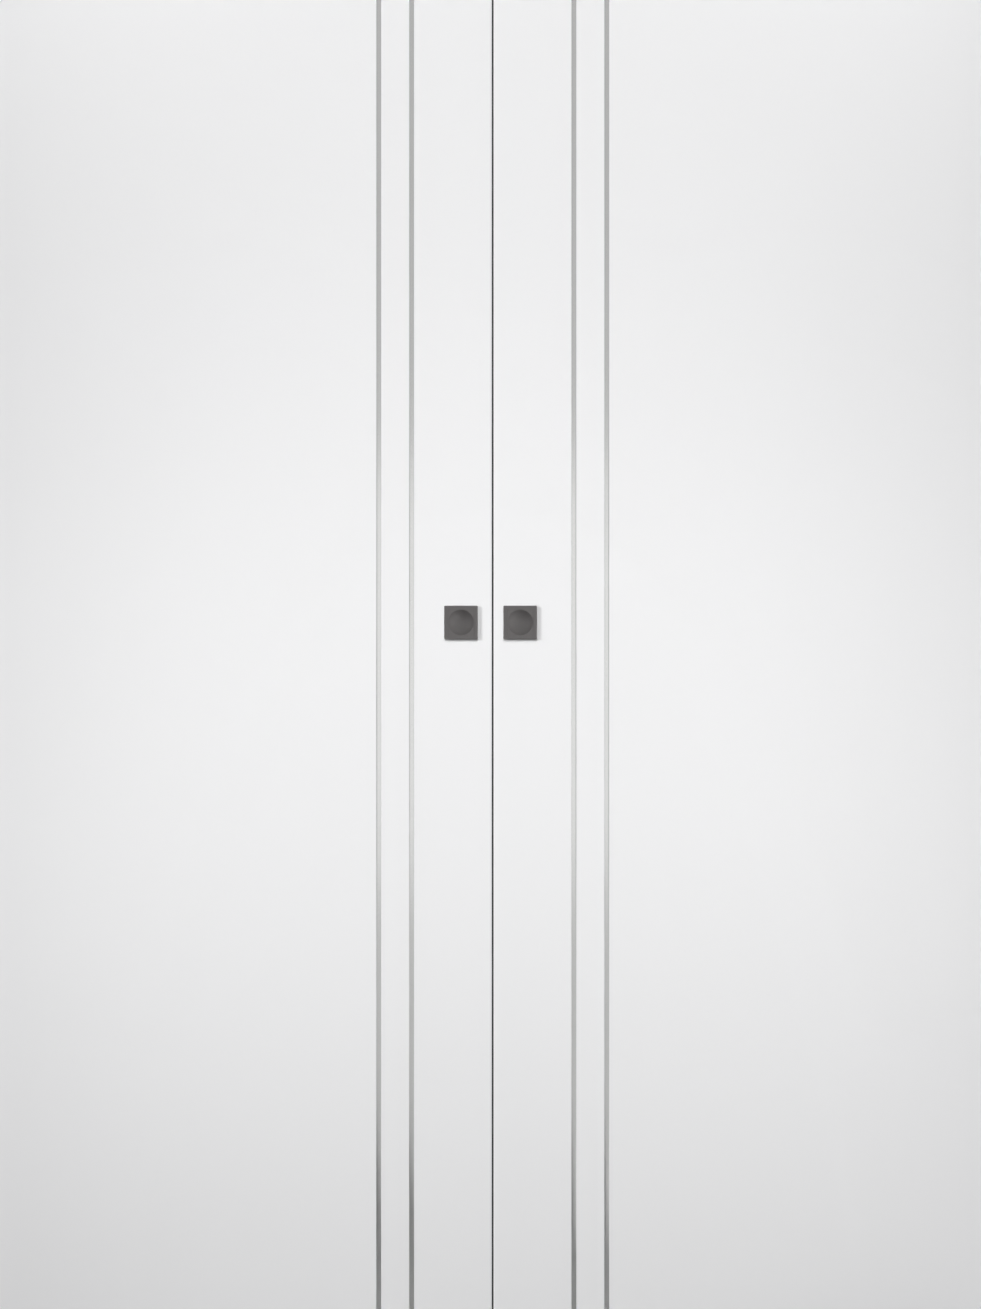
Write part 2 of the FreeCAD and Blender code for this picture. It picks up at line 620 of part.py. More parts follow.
def save_leaf(side):
    """Write every node of one leaf with its hanging gear."""
    cutter = leaf_cutter(side)
    wooden = {
        "core": core(),
        "front_skin": skin((LEAF_FRONT, CORE_FRONT)),
        "back_skin": skin((CORE_BACK, LEAF_BACK)),
        "meeting_stile": stile((PANEL_INNER, CORE_INNER)),
        "outer_stile": stile((CORE_OUTER, PANEL_OUTER)),
        "meeting_lipping": meeting_lipping(),
        "outer_lipping": outer_lipping(),
    }
    for name, shape in wooden.items():
        save(f"{side.name}_{name}", side.hand(shape.cut(cutter)))
    rails = [rail((LEAF_BOTTOM, CORE_BOTTOM)), rail((CORE_TOP, LEAF_TOP))]
    groups = {
        "rails": [shape.cut(cutter) for shape in rails],
        "inlays": [inlay(middle) for middle in inlay_middles()],
        "pull_plate": [pull_plate(side)],
        "pull_socket": [pull_socket(side)],
        "meeting_seal": [meeting_seal(side)],
        "guide_channel": [guide_channel()],
        "hanger_brackets": [hanger_bracket(x) for x in TROLLEYS.values()],
        "hanger_screws": [wood_screw(x, y) for x, y in wood_screw_places()],
        "hanger_bolts": [hanger_bolt(x) for x in TROLLEYS.values()],
        "lock_nuts": [lock_nut(x) for x in TROLLEYS.values()],
        "trolley_bodies": [trolley_body(x) for x in TROLLEYS.values()],
        "axles": [axle(x + step) for x in TROLLEYS.values() for step in AXLES.values()],
    }
    for trolley, x in TROLLEYS.items():
        for place, step in AXLES.items():
            groups[f"{trolley}_wheels_{place}"] = [wheel(x + step, outward) for outward in (-1, 1)]
    for name, shapes in groups.items():
        save(f"{side.name}_{name}", *[side.hand(shape) for shape in shapes])


def along_track():
    return (-TRACK_HALF_LENGTH, TRACK_HALF_LENGTH)


def running_track():
    """Extruded channel with two flanges for the wheels, open below along its slot."""
    right = [
        (SLOT_HALF, FLANGE_TOP, 0),
        (SLOT_HALF, TRACK_BOTTOM, 0),
        (TRACK_HALF_WIDTH, TRACK_BOTTOM, TRACK_CORNER_RADIUS),
        (TRACK_HALF_WIDTH, TRACK_TOP, TRACK_CORNER_RADIUS),
    ]
    left = [(-y, z, radius) for y, z, radius in reversed(right)]
    inside = [
        (-TRACK_INNER_HALF, FLANGE_TOP, 0),
        (-TRACK_INNER_HALF, TRACK_CEILING, 0),
        (TRACK_INNER_HALF, TRACK_CEILING, 0),
        (TRACK_INNER_HALF, FLANGE_TOP, 0),
    ]
    holes = [
        rod_z(TRACK_SCREW_DIAMETER + 2 * HOLE_FIT, x, 0, (TRACK_CEILING, TRACK_TOP))
        for x in spread(TRACK_SCREW_COUNT, TRACK_SCREW_INSET)
    ]
    return prism_x(right + left + inside, along_track()).cut(holes)


def wall_angle():
    """Angle whose shelf carries the track and whose upright leg is screwed to the wall."""
    shelf_front = -TRACK_HALF_WIDTH
    section = [
        (shelf_front, TRACK_TOP, 0),
        (WALL_FACE, TRACK_TOP, 0),
        (WALL_FACE, ANGLE_TOP, 0),
        (WALL_FACE - ANGLE_SHEET, ANGLE_TOP, 0),
        (WALL_FACE - ANGLE_SHEET, ANGLE_SHELF_TOP, ANGLE_CORNER_RADIUS),
        (shelf_front, ANGLE_SHELF_TOP, 0),
    ]
    wall_holes = [
        rod_y(WALL_HOLE_DIAMETER, x, ANGLE_TOP - WALL_HOLE_BELOW_TOP, (WALL_FACE - ANGLE_SHEET, WALL_FACE))
        for x in spread(WALL_HOLE_COUNT, WALL_HOLE_INSET)
    ]
    screw_holes = [
        rod_z(TRACK_SCREW_DIAMETER + 2 * HOLE_FIT, x, 0, (TRACK_TOP, ANGLE_SHELF_TOP))
        for x in spread(TRACK_SCREW_COUNT, TRACK_SCREW_INSET)
    ]
    return prism_x(section, along_track()).cut(wall_holes + screw_holes)


def track_screw(x):
    head = rod_z(TRACK_SCREW_HEAD_DIAMETER, x, 0, (TRACK_CEILING - TRACK_SCREW_HEAD_HEIGHT, TRACK_CEILING))
    end = ANGLE_SHELF_TOP + TRACK_NUT_HEIGHT + TRACK_SCREW_END
    return head.fuse(rod_z(TRACK_SCREW_DIAMETER, x, 0, (TRACK_CEILING, end)))


def track_nut(x):
    z_range = (ANGLE_SHELF_TOP, ANGLE_SHELF_TOP + TRACK_NUT_HEIGHT)
    bore = rod_z(TRACK_SCREW_DIAMETER + 2 * SCREW_FIT, x, 0, z_range)
    return hexagon_z(TRACK_NUT_ACROSS, x, 0, z_range).cut(bore)


def front_fascia():
    """Cover in front of the track, whose top return rests on the wall angle's upright leg."""
    section = [
        (FASCIA_FRONT, FASCIA_BOTTOM, 0),
        (FASCIA_BACK, FASCIA_BOTTOM, 0),
        (FASCIA_BACK, ANGLE_TOP, 0),
        (WALL_FACE, ANGLE_TOP, 0),
        (WALL_FACE, FASCIA_TOP, 0),
        (FASCIA_FRONT, FASCIA_TOP, FASCIA_CORNER_RADIUS),
    ]
    return prism_x(section, along_track())


def fascia_clip(x):
    """Bent clip between the angle's shelf and the back of the fascia."""
    foot_end = CLIP_FOOT - TRACK_HALF_WIDTH
    section = [
        (FASCIA_BACK, ANGLE_SHELF_TOP, 0),
        (foot_end, ANGLE_SHELF_TOP, 0),
        (foot_end, ANGLE_SHELF_TOP + CLIP_SHEET, 0),
        (FASCIA_BACK + CLIP_SHEET, ANGLE_SHELF_TOP + CLIP_SHEET, 0),
        (FASCIA_BACK + CLIP_SHEET, ANGLE_SHELF_TOP + CLIP_RISE, 0),
        (FASCIA_BACK, ANGLE_SHELF_TOP + CLIP_RISE, 0),
    ]
    return prism_x(section, about(x, CLIP_LENGTH))


def end_cap():
    section = rectangle((FASCIA_FRONT, WALL_FACE), (FASCIA_BOTTOM, FASCIA_TOP), CAP_CORNER_RADIUS)
    return prism_x(section, (TRACK_HALF_LENGTH, TRACK_HALF_LENGTH + CAP_THICKNESS))


def stop_screw(x):
    """Grub screw that clamps a stop between the track's flanges and its ceiling."""
    bottom = FLANGE_TOP + STOP_SCREW_RECESS
    socket = hexagon_z(STOP_SCREW_SOCKET_ACROSS, x, 0, (bottom, bottom + STOP_SCREW_SOCKET_DEPTH))
    return rod_z(STOP_SCREW_DIAMETER, x, 0, (bottom, TRACK_CEILING)).cut(socket)


def stop_block(x_range):
    """Stop that rests on both flanges, with a tapped hole for its grub screw."""
    half_width = TRACK_INNER_HALF - STOP_SIDE_CLEARANCE
    z_range = (FLANGE_TOP, FLANGE_TOP + STOP_HEIGHT)
    hole = rod_z(STOP_SCREW_DIAMETER + 2 * SCREW_FIT, sum(x_range) / 2, 0, z_range)
    return block(x_range, (-half_width, half_width), z_range).cut(hole)


def buffer(x0):
    """Rubber pad between a stop and the trolley that it catches."""
    bottom = FLANGE_TOP + BUFFER_ABOVE_FLANGE
    return block((x0, x0 + BUFFER_THICKNESS), about(0, BUFFER_WIDTH), (bottom, bottom + BUFFER_HEIGHT))


def floor_guide_base():
    """Plate on the floor with two screw holes and an upright tab."""
    plate = prism_z(
        rectangle(about(GUIDE_CENTRE, BASE_LENGTH), about(0, BASE_WIDTH), BASE_CORNER_RADIUS),
        (0, BASE_THICKNESS),
    )
    tab = block(about(GUIDE_CENTRE, TAB_LENGTH), about(0, TAB_THICKNESS), (BASE_THICKNESS, TAB_TOP))
    holes = [
        rod_z(BASE_HOLE_DIAMETER, x, 0, (0, BASE_THICKNESS))
        for x in about(GUIDE_CENTRE, BASE_HOLE_SPACING)
    ]
    return plate.fuse(tab).cut(holes).removeSplitter()


def floor_guide_sleeve():
    """Low-friction sleeve that slips over the tab and runs in the leaf's channel."""
    outside = prism_z(
        rectangle(about(GUIDE_CENTRE, SLEEVE_LENGTH), about(0, SLEEVE_WIDTH), SLEEVE_EDGE_RADIUS),
        (BASE_THICKNESS, SLEEVE_TOP),
    )
    pocket = block(
        about(GUIDE_CENTRE, TAB_LENGTH + 2 * SLEEVE_FIT),
        about(0, TAB_THICKNESS + 2 * SLEEVE_FIT),
        (BASE_THICKNESS, TAB_TOP + SLEEVE_FIT),
    )
    return outside.cut(pocket)


def save_both(name, shape, *middle):
    """Write a right-hand shape with its mirror image, and any shapes between them."""
    save(name, *[side.hand(shape) for side in SIDES], *middle)


def save_fixed_parts():
    """Write the nodes that stay on the wall and on the floor."""
    screws = spread(TRACK_SCREW_COUNT, TRACK_SCREW_INSET)
    end_stop = (END_STOP_FACE, END_STOP_FACE + END_STOP_LENGTH)
    centre_stop = about(0, CENTRE_STOP_LENGTH)
    save("wall_angle", wall_angle())
    save("running_track", running_track())
    save("track_screws", *[track_screw(x) for x in screws])
    save("track_nuts", *[track_nut(x) for x in screws])
    save("front_fascia", front_fascia())
    save("fascia_clips", *[fascia_clip(x) for x in spread(CLIP_COUNT, CLIP_INSET)])
    save_both("end_caps", end_cap())
    save("centre_stop", stop_block(centre_stop))
    save_both("end_stops", stop_block(end_stop))
    save_both("stop_screws", stop_screw(sum(end_stop) / 2), stop_screw(0))
    pads = [buffer(centre_stop[1]), buffer(END_BUFFER_FACE)]
    save("stop_buffers", *[side.hand(pad) for side in SIDES for pad in pads])
    save_both("floor_guide_bases", floor_guide_base())
    save_both("floor_guide_sleeves", floor_guide_sleeve())


def main():
    os.makedirs("parts", exist_ok=True)
    save_fixed_parts()
    for side in SIDES:
        save_leaf(side)


main()
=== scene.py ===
"""Two white sliding door leaves that hang from one top track, with their finishes and studio light.

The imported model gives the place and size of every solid. Lengths are in metres unless a name says
otherwise: X runs to the right, Y runs to the wall and Z runs up from the floor.
"""

import json
import logging
import math
from collections.abc import Callable, Iterable, Mapping, Sequence
from dataclasses import dataclass, replace
from enum import Enum

import bmesh
import bpy
from bmesh.types import BMEdge, BMFace, BMVert
from mathutils import Matrix, Vector

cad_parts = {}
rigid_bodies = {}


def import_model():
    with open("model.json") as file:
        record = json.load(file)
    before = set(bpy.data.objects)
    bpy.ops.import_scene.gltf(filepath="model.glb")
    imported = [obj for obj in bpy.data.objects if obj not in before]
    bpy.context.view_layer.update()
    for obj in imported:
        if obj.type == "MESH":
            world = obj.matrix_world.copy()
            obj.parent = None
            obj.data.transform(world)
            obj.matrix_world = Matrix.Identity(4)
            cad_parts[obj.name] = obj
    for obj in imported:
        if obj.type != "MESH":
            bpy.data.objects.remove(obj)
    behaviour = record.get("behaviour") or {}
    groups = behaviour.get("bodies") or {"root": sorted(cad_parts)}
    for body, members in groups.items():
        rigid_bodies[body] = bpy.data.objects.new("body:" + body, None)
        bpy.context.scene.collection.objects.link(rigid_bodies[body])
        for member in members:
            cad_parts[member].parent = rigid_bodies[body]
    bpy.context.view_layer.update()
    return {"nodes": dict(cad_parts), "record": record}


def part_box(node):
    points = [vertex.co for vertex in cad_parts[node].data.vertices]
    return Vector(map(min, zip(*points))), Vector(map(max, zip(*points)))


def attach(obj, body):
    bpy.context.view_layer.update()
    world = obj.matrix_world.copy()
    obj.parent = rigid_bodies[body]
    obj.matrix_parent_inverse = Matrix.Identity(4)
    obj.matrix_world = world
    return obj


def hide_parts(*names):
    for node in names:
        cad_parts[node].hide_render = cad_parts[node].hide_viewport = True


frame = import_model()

LOG = logging.getLogger("sliding_door")
MM = 0.001
# Vertices of a piece this close are one.
WELD = 1e-7
# Heights this close are level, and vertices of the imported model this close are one.
LEVEL = 1e-6
# Edges flatter than this are shaded smooth.
SMOOTH_BELOW = math.radians(38)
HEX_SIDES = 6
HEX_TURN = math.pi / HEX_SIDES
Colour = tuple[float, float, float]
Place = tuple[float, float, float]
# Radius and place along the axis of each corner of a turned shape's section.
Section = Sequence[tuple[float, float]]


class Slot(Enum):
    """The material slots that the record names."""

    WHITE_LACQUER = "white_lacquer"
    TIMBER = "timber"
    TUBULAR_BOARD = "tubular_board"
    INLAY_METAL = "inlay_metal"
    GUNMETAL = "gunmetal"
    SOCKET_PLASTIC = "socket_plastic"
    SEAL_RUBBER = "seal_rubber"
    TRACK_ALUMINIUM = "track_aluminium"
    FASCIA_ALUMINIUM = "fascia_aluminium"
    CAP_PLASTIC = "cap_plastic"
    ZINC_STEEL = "zinc_steel"
    TROLLEY_METAL = "trolley_metal"
    AXLE_STEEL = "axle_steel"
    WHEEL_NYLON = "wheel_nylon"
    GUIDE_NYLON = "guide_nylon"


class Axis(Enum):
    """A direction that grain or the centre line of a turned piece follows."""

    X = (1.0, 0.0, 0.0)
    Y = (0.0, 1.0, 0.0)
    Z = (0.0, 0.0, 1.0)

    @property
    def along(self) -> Vector:
        """The unit vector along the axis."""
        return Vector(self.value)

    @property
    def across(self) -> Vector:
        """A unit vector square to the axis."""
        return Vector((0.0, 0.0, 1.0)) if self is not Axis.Z else Vector((1.0, 0.0, 0.0))

    def stretch(self, along: float, across: float) -> Place:
        """Pattern scale that is one over these lengths, along and across the axis."""
        return tuple(1 / along if step else 1 / across for step in self.value)


class Side(Enum):
    """One of the two leaves."""

    LEFT = "left"
    RIGHT = "right"

    @property
    def body(self) -> str:
        """The body that carries everything on this leaf."""
        return self.node("leaf")

    def node(self, name: str) -> str:
        """The full name of one of this leaf's pieces."""
        return f"{self.value}_{name}"


class Lights(Enum):
    """Whether a lamp lights only the objects that are named for it, or all but those."""

    ONLY = "INCLUDE"
    ALL_BUT = "EXCLUDE"


class Wire:
    """An output of a node, on which arithmetic adds Math nodes."""

    def __init__(self, nodes: "Nodes", socket: bpy.types.NodeSocket) -> None:
        """Wraps one output socket of a node tree."""
        self.nodes = nodes
        self.socket = socket

    def _math(self, operation: str, first: "Wire | float", second: "Wire | float") -> "Wire":
        """Adds one Math node.

        Args:
            operation: the Math node's operation.
            first: its first value or link.
            second: its second value or link.

        Returns:
            The node's output.
        """
        return self.nodes.add("ShaderNodeMath", {"operation": operation}, {0: first, 1: second})

    def __add__(self, other: "Wire | float") -> "Wire":
        """This plus another."""
        return self._math("ADD", self, other)

    def __radd__(self, other: float) -> "Wire":
        """A number plus this."""
        return self._math("ADD", other, self)

    def __sub__(self, other: "Wire | float") -> "Wire":
        """This less another."""
        return self._math("SUBTRACT", self, other)

    def __rsub__(self, other: float) -> "Wire":
        """A number less this."""
        return self._math("SUBTRACT", other, self)

    def __mul__(self, other: "Wire | float") -> "Wire":
        """This times another."""
        return self._math("MULTIPLY", self, other)

    def __rmul__(self, other: float) -> "Wire":
        """A number times this."""
        return self._math("MULTIPLY", other, self)

    def __pow__(self, power: float) -> "Wire":
        """This to a power."""
        return self._math("POWER", self, power)


class Nodes:
    """A node tree and the one method that adds any node to it."""

    def __init__(self, tree: bpy.types.NodeTree) -> None:
        """Empties the tree."""
        self.tree = tree
        tree.nodes.clear()

    def add(
        self,
        kind: str,
        settings: Mapping[str, object] | None = None,
        sockets: Mapping[str | int, object] | None = None,
        output: str | int = 0,
    ) -> Wire:
        """Adds a node.

        Args:
            kind: the node's type.
            settings: its properties, which are set first.
            sockets: values or wires for its inputs.
            output: which output to return.

        Returns:
            That output.
        """
        node = self.tree.nodes.new(kind)
        for name, value in (settings or {}).items():
            setattr(node, name, value)
        for key, value in (sockets or {}).items():
            self.feed(node.inputs[key], value)
        return Wire(self, node.outputs[output]) if node.outputs else Wire(self, None)

    def feed(self, socket: bpy.types.NodeSocket, value: object) -> None:
        """Links a wire to an input, or sets the input's value.

        Args:
            socket: the input.
            value: a wire, a colour, a vector or a number.
        """
        if isinstance(value, Wire):
            self.tree.links.new(value.socket, socket)
        elif socket.type == "RGBA":
            socket.default_value = (*value[:3], 1.0)
        else:
            socket.default_value = value

    def shown(self) -> Wire:
        """Tells rays that see from rays that only carry light.

        Returns:
            1 on rays from the camera, a mirror or glass, and 0 on all others.
        """
        kinds = ("Camera", "Glossy", "Transmission")
        rays = (self.add("ShaderNodeLightPath", {}, {}, f"Is {kind} Ray") for kind in kinds)
        return self.add("ShaderNodeClamp", {}, {"Value": sum(rays, 0.0)})


class Surface(Nodes):
    """A material in the making, with its shader already joined to the output."""

    def __init__(self, name: str) -> None:
        """Makes the material and its shader.

        Args:
            name: the material's name.
        """
        self.material = bpy.data.materials.new(name)
        self.material.use_nodes = True
        super().__init__(self.material.node_tree)
        shader = self.add("ShaderNodeBsdfPrincipled")
        self.shader = shader.socket.node
        self.add("ShaderNodeOutputMaterial", {}, {"Surface": shader})

    def set(self, **inputs: object) -> None:
        """Sets or links the shader's inputs, named with underscores for spaces."""
        for name, value in inputs.items():
            self.feed(self.shader.inputs[name.replace("_", " ").title().replace("Ior", "IOR")], value)

    def place(self, scale: Place) -> Wire:
        """The piece's own coordinates, scaled."""
        here = self.add("ShaderNodeTexCoord", {}, {}, "Object")
        return self.add("ShaderNodeMapping", {}, {"Vector": here, "Scale": scale})

    def noise(self, scale: Place, detail: float = 2.0, warp: float = 0.0) -> Wire:
        """Cloudy noise from 0 to 1.

        Args:
            scale: one over the size of its blotches along X, Y and Z.
            detail: how many finer layers it has.
            warp: how far it is distorted.

        Returns:
            Its value.
        """
        sockets = {"Vector": self.place(scale), "Scale": 1.0, "Detail": detail, "Distortion": warp}
        return self.add("ShaderNodeTexNoise", {}, sockets, "Fac")

    def cloud(self, size: float, detail: float, warp: float = 0.0) -> Wire:
        """Noise whose blotches have one size in every direction."""
        return self.noise((1 / size,) * 3, detail, warp)

    def cells(self, scale: Place, output: str) -> Wire:
        """Cells of a broken-up pattern: the random Color of each, or the Distance from its middle."""
        return self.add("ShaderNodeTexVoronoi", {}, {"Vector": self.place(scale), "Scale": 1.0}, output)

    def ramp(self, value: Wire, low: float, high: float) -> Wire:
        """The value stretched so that low becomes 0 and high becomes 1, and kept between them."""
        return self.add("ShaderNodeMapRange", {}, {"Value": value, "From Min": low, "From Max": high})

    def mix(self, factor: Wire, first: Colour | Wire, second: Colour | Wire) -> Wire:
        """A colour between two, where a factor of 0 is the first."""
        # The node has sockets for numbers and vectors too: 6 and 7 take colours, and 2 gives one.
        return self.add("ShaderNodeMix", {"data_type": "RGBA"}, {0: factor, 6: first, 7: second}, 2)

    def shades(self, factor: Wire, colour: Colour, spread: float) -> Wire:
        """Darkens and lightens a colour.

        Args:
            factor: 0 where it is darkest and 1 where it is lightest.
            colour: the colour.
            spread: how far it changes each way, as a share of it.

        Returns:
            The changed colour.
        """
        dark = tuple(part * (1 - spread) for part in colour)
        light = tuple(min(part * (1 + spread), 1.0) for part in colour)
        return self.mix(factor, dark, light)

    def varied(self, value: float, spread: float, factor: Wire) -> Wire:
        """A value made up to half the spread lower and higher by the factor."""
        return value - spread / 2 + spread * factor

    def relief(self, height: Wire, depth: float) -> None:
        """Bumps the surface by a height from 0 to 1 over this depth."""
        sockets = {"Height": height, "Distance": depth, "Strength": 1.0}
        self.set(normal=self.add("ShaderNodeBump", {}, sockets))


@dataclass(frozen=True)
class Finish:
    """What one kind of surface is made of or coated with."""

    name: str
    slot: Slot
    colour: Colour
    roughness: float

    def material(self) -> bpy.types.Material:
        """Makes the finish's material the first time that it is asked for.

        Returns:
            The material.
        """
        found = bpy.data.materials.get(self.name)
        if found:
            return found
        surface = Surface(self.name)
        self.dress(surface)
        return surface.material

    def dress(self, surface: Surface) -> None:
        """Wires the finish's pattern to the shader."""
        raise NotImplementedError


@dataclass(frozen=True)
class Coat(Finish):
    """A finish whose tone, sheen and relief each follow one pattern."""

    tone: float = 0.05
    sheen: float = 0.12
    metallic: float = 0.0

    def wire(self, surface: Surface, shade: Wire, gloss: Wire, height: Wire, depth: float) -> None:
        """Wires the patterns.

        Args:
            surface: the material in the making.
            shade: the pattern of the tone.
            gloss: the pattern of the sheen.
            height: the pattern of the relief.
            depth: depth of the relief.
        """
        surface.set(
            base_color=surface.shades(shade, self.colour, self.tone),
            roughness=surface.varied(self.roughness, self.sheen, gloss),
            metallic=self.metallic,
        )
        surface.relief(height, depth)


@dataclass(frozen=True)
class Lacquer(Coat):
    """Sprayed satin lacquer: an even coat with a faint ripple and a slow drift of tone."""

    tone: float = 0.008
    sheen: float = 0.08
    ripple: float = 2.4 * MM
    ripple_depth: float = 0.006 * MM
    drift: float = 0.3
    handling: float = 0.06

    def dress(self, surface: Surface) -> None:
        """Wires tone, sheen and ripple.

        Args:
            surface: the material in the making.
        """
        slow = surface.cloud(self.drift, detail=3.0)
        touched = surface.cloud(self.handling, detail=4.0)
        peel = surface.cloud(self.ripple, detail=1.0)
        self.wire(surface, slow, touched, peel, self.ripple_depth)


@dataclass(frozen=True)
class GrainedMetal(Finish):
    """Metal with fine lines along one axis, from drawing, brushing or grinding.

    Broader and longer lines, given as multiples of the fine ones, take a share of the pattern.
    """

    axis: Axis = Axis.Z
    line: float = 0.25 * MM
    line_length: float = 60 * MM
    line_depth: float = 0.004 * MM
    broader: float = 8.0
    longer: float = 4.0
    broad_share: float = 0.35
    tone: float = 0.06
    cloud: float = 0.12
    cloud_sheen: float = 0.08
    line_sheen: float = 0.06

    def dress(self, surface: Surface) -> None:
        """Wires the lines, and clouds that change their sheen.

        Args:
            surface: the material in the making.
        """
        long, broad = self.longer * self.line_length, self.broader * self.line
        fine_lines = surface.noise(self.axis.stretch(self.line_length, self.line), detail=3.0)
        broad_lines = surface.noise(self.axis.stretch(long, broad), detail=2.0)
        cloud = surface.cloud(self.cloud, detail=3.0)
        lines = (1 - self.broad_share) * fine_lines + self.broad_share * broad_lines
        sheen = surface.varied(self.roughness - self.line_sheen / 2, self.cloud_sheen, cloud)
        surface.set(
            base_color=surface.shades(lines, self.colour, self.tone),
            roughness=sheen + self.line_sheen * fine_lines,
            metallic=1.0,
        )
        surface.relief(lines, self.line_depth)


@dataclass(frozen=True)
class CastMetal(Coat):
    """A metal casting with a fine, even skin, plain or plated."""

    tone: float = 0.08
    metallic: float = 1.0
    grain: float = 0.35 * MM
    grain_depth: float = 0.012 * MM
    grain_share: float = 0.4
    blotch: float = 9 * MM

    def dress(self, surface: Surface) -> None:
        """Wires the skin's grain and its blotches.

        Args:
            surface: the material in the making.
        """
        skin = surface.cloud(self.grain, detail=2.0)
        blotch = surface.cloud(self.blotch, detail=4.0)
        shade = self.grain_share * skin + (1 - self.grain_share) * blotch
        self.wire(surface, shade, blotch, skin, self.grain_depth)


@dataclass(frozen=True)
class ZincPlate(Finish):
    """Bright zinc plating: small crystals, with a faint warm and cold cast of the passivation."""

    warm: Colour = (0.66, 0.61, 0.50)
    crystal: float = 2.2 * MM
    crystal_depth: float = 0.006 * MM
    cast: float = 14 * MM
    cast_swirl: float = 0.6
    cast_range: tuple[float, float] = (0.45, 0.75)
    cast_share: float = 0.45
    tone: float = 0.05
    sheen: float = 0.1

    def dress(self, surface: Surface) -> None:
        """Wires crystals and cast.

        Args:
            surface: the material in the making.
        """
        crystal = surface.cells((1 / self.crystal,) * 3, "Color")
        cast = surface.ramp(surface.cloud(self.cast, 3.0, self.cast_swirl), *self.cast_range)
        fine = surface.cloud(self.crystal / 3, detail=2.0)
        base = surface.shades(crystal, self.colour, self.tone)
        surface.set(
            base_color=surface.mix(self.cast_share * cast, base, self.warm),
            roughness=surface.varied(self.roughness, self.sheen, fine),
            metallic=1.0,
        )
        surface.relief(fine, self.crystal_depth)


@dataclass(frozen=True)
class Moulding(Coat):
    """Moulded plastic or rubber with a fine matt texture."""

    texture: float = 0.5 * MM
    texture_depth: float = 0.02 * MM
    bloom: float = 25 * MM

    def dress(self, surface: Surface) -> None:
        """Wires the texture, and a bloom that changes tone and sheen.

        Args:
            surface: the material in the making.
        """
        texture = surface.cloud(self.texture, detail=2.0)
        bloom = surface.cloud(self.bloom, detail=4.0)
        self.wire(surface, bloom, bloom, texture, self.texture_depth)


@dataclass(frozen=True)
class Timber(Finish):
    """Planed softwood with growth rings and fibres along one axis."""

    late_wood: Colour = (0.50, 0.31, 0.15)
    axis: Axis = Axis.Z
    ring: float = 27 * MM
    ring_length: float = 0.35
    ring_wobble: float = 5.0
    ring_share: float = 0.7
    sway: float = 45 * MM
    late_range: tuple[float, float] = (0.3, 0.95)
    late_edge: float = 1.6
    fibre: float = 0.3 * MM
    fibre_length: float = 40 * MM
    fibre_share: float = 0.25
    fibre_sheen: float = 0.12
    fibre_relief: float = 0.6
    grain_depth: float = 0.04 * MM

    def dress(self, surface: Surface) -> None:
        """Wires rings, fibres and their relief.

        Args:
            surface: the material in the making.
        """
        sway = surface.noise(self.axis.stretch(self.ring_length, self.sway), detail=3.0)
        rings = surface.add(
            "ShaderNodeTexWave",
            {"wave_type": "RINGS", "rings_direction": self.axis.name, "wave_profile": "SAW"},
            {
                "Vector": surface.place(self.axis.stretch(self.ring_length, self.ring)),
                "Scale": 1.0,
                "Distortion": self.ring_wobble,
                "Detail": 2.0,
            },
            "Fac",
        )
        fibres = surface.noise(self.axis.stretch(self.fibre_length, self.fibre), detail=3.0)
        growth = self.ring_share * rings + (1 - self.ring_share) * sway
        late = surface.ramp(growth, *self.late_range) ** self.late_edge
        grain = (1 - self.fibre_share) * late + self.fibre_share * fibres
        surface.set(
            base_color=surface.mix(grain, self.colour, self.late_wood),
            roughness=self.roughness + self.fibre_sheen * fibres,
        )
        surface.relief(self.fibre_relief * fibres + (1 - self.fibre_relief) * late, self.grain_depth)


@dataclass(frozen=True)
class PressedBoard(Finish):
    """Raw pressed board: flat chips of many shades, and dark specks between them."""

    bark: Colour = (0.22, 0.14, 0.08)
    chip: float = 3.5 * MM
    chip_length: float = 8.75 * MM
    chip_depth: float = 0.15 * MM
    speck_range: tuple[float, float] = (0.62, 0.72)
    speck_share: float = 0.8
    tone: float = 0.22
    sheen: float = 0.1

    def dress(self, surface: Surface) -> None:
        """Wires chips, specks and their relief.

        Args:
            surface: the material in the making.
        """
        scale = Axis.Z.stretch(self.chip_length, self.chip)
        shade = surface.cells(scale, "Color")
        edge = surface.cells(scale, "Distance")
        speck = surface.ramp(surface.cloud(self.chip / 2, detail=3.0), *self.speck_range)
        chips = surface.shades(shade, self.colour, self.tone)
        surface.set(
            base_color=surface.mix(self.speck_share * speck, chips, self.bark),
            roughness=self.roughness + self.sheen * edge,
        )
        surface.relief(1 - edge, self.chip_depth)


@dataclass(frozen=True)
class PaleFloor:
    """The studio floor: pale, matt and slightly cloudy, with little light thrown back on the door."""

    colour: Colour = (0.74, 0.74, 0.74)
    bounce: Colour = (0.16, 0.16, 0.16)
    roughness: float = 0.8
    specular: float = 0.1
    cloud: float = 1.6
    tone: float = 0.02

    def material(self) -> bpy.types.Material:
        """Makes the floor's material.

        Returns:
            The material.
        """
        surface = Surface("pale_floor")
        pale = surface.shades(surface.cloud(self.cloud, detail=4.0), self.colour, self.tone)
        surface.set(
            base_color=surface.mix(surface.shown(), self.bounce, pale),
            roughness=self.roughness,
            specular_ior_level=self.specular,
        )
        return surface.material


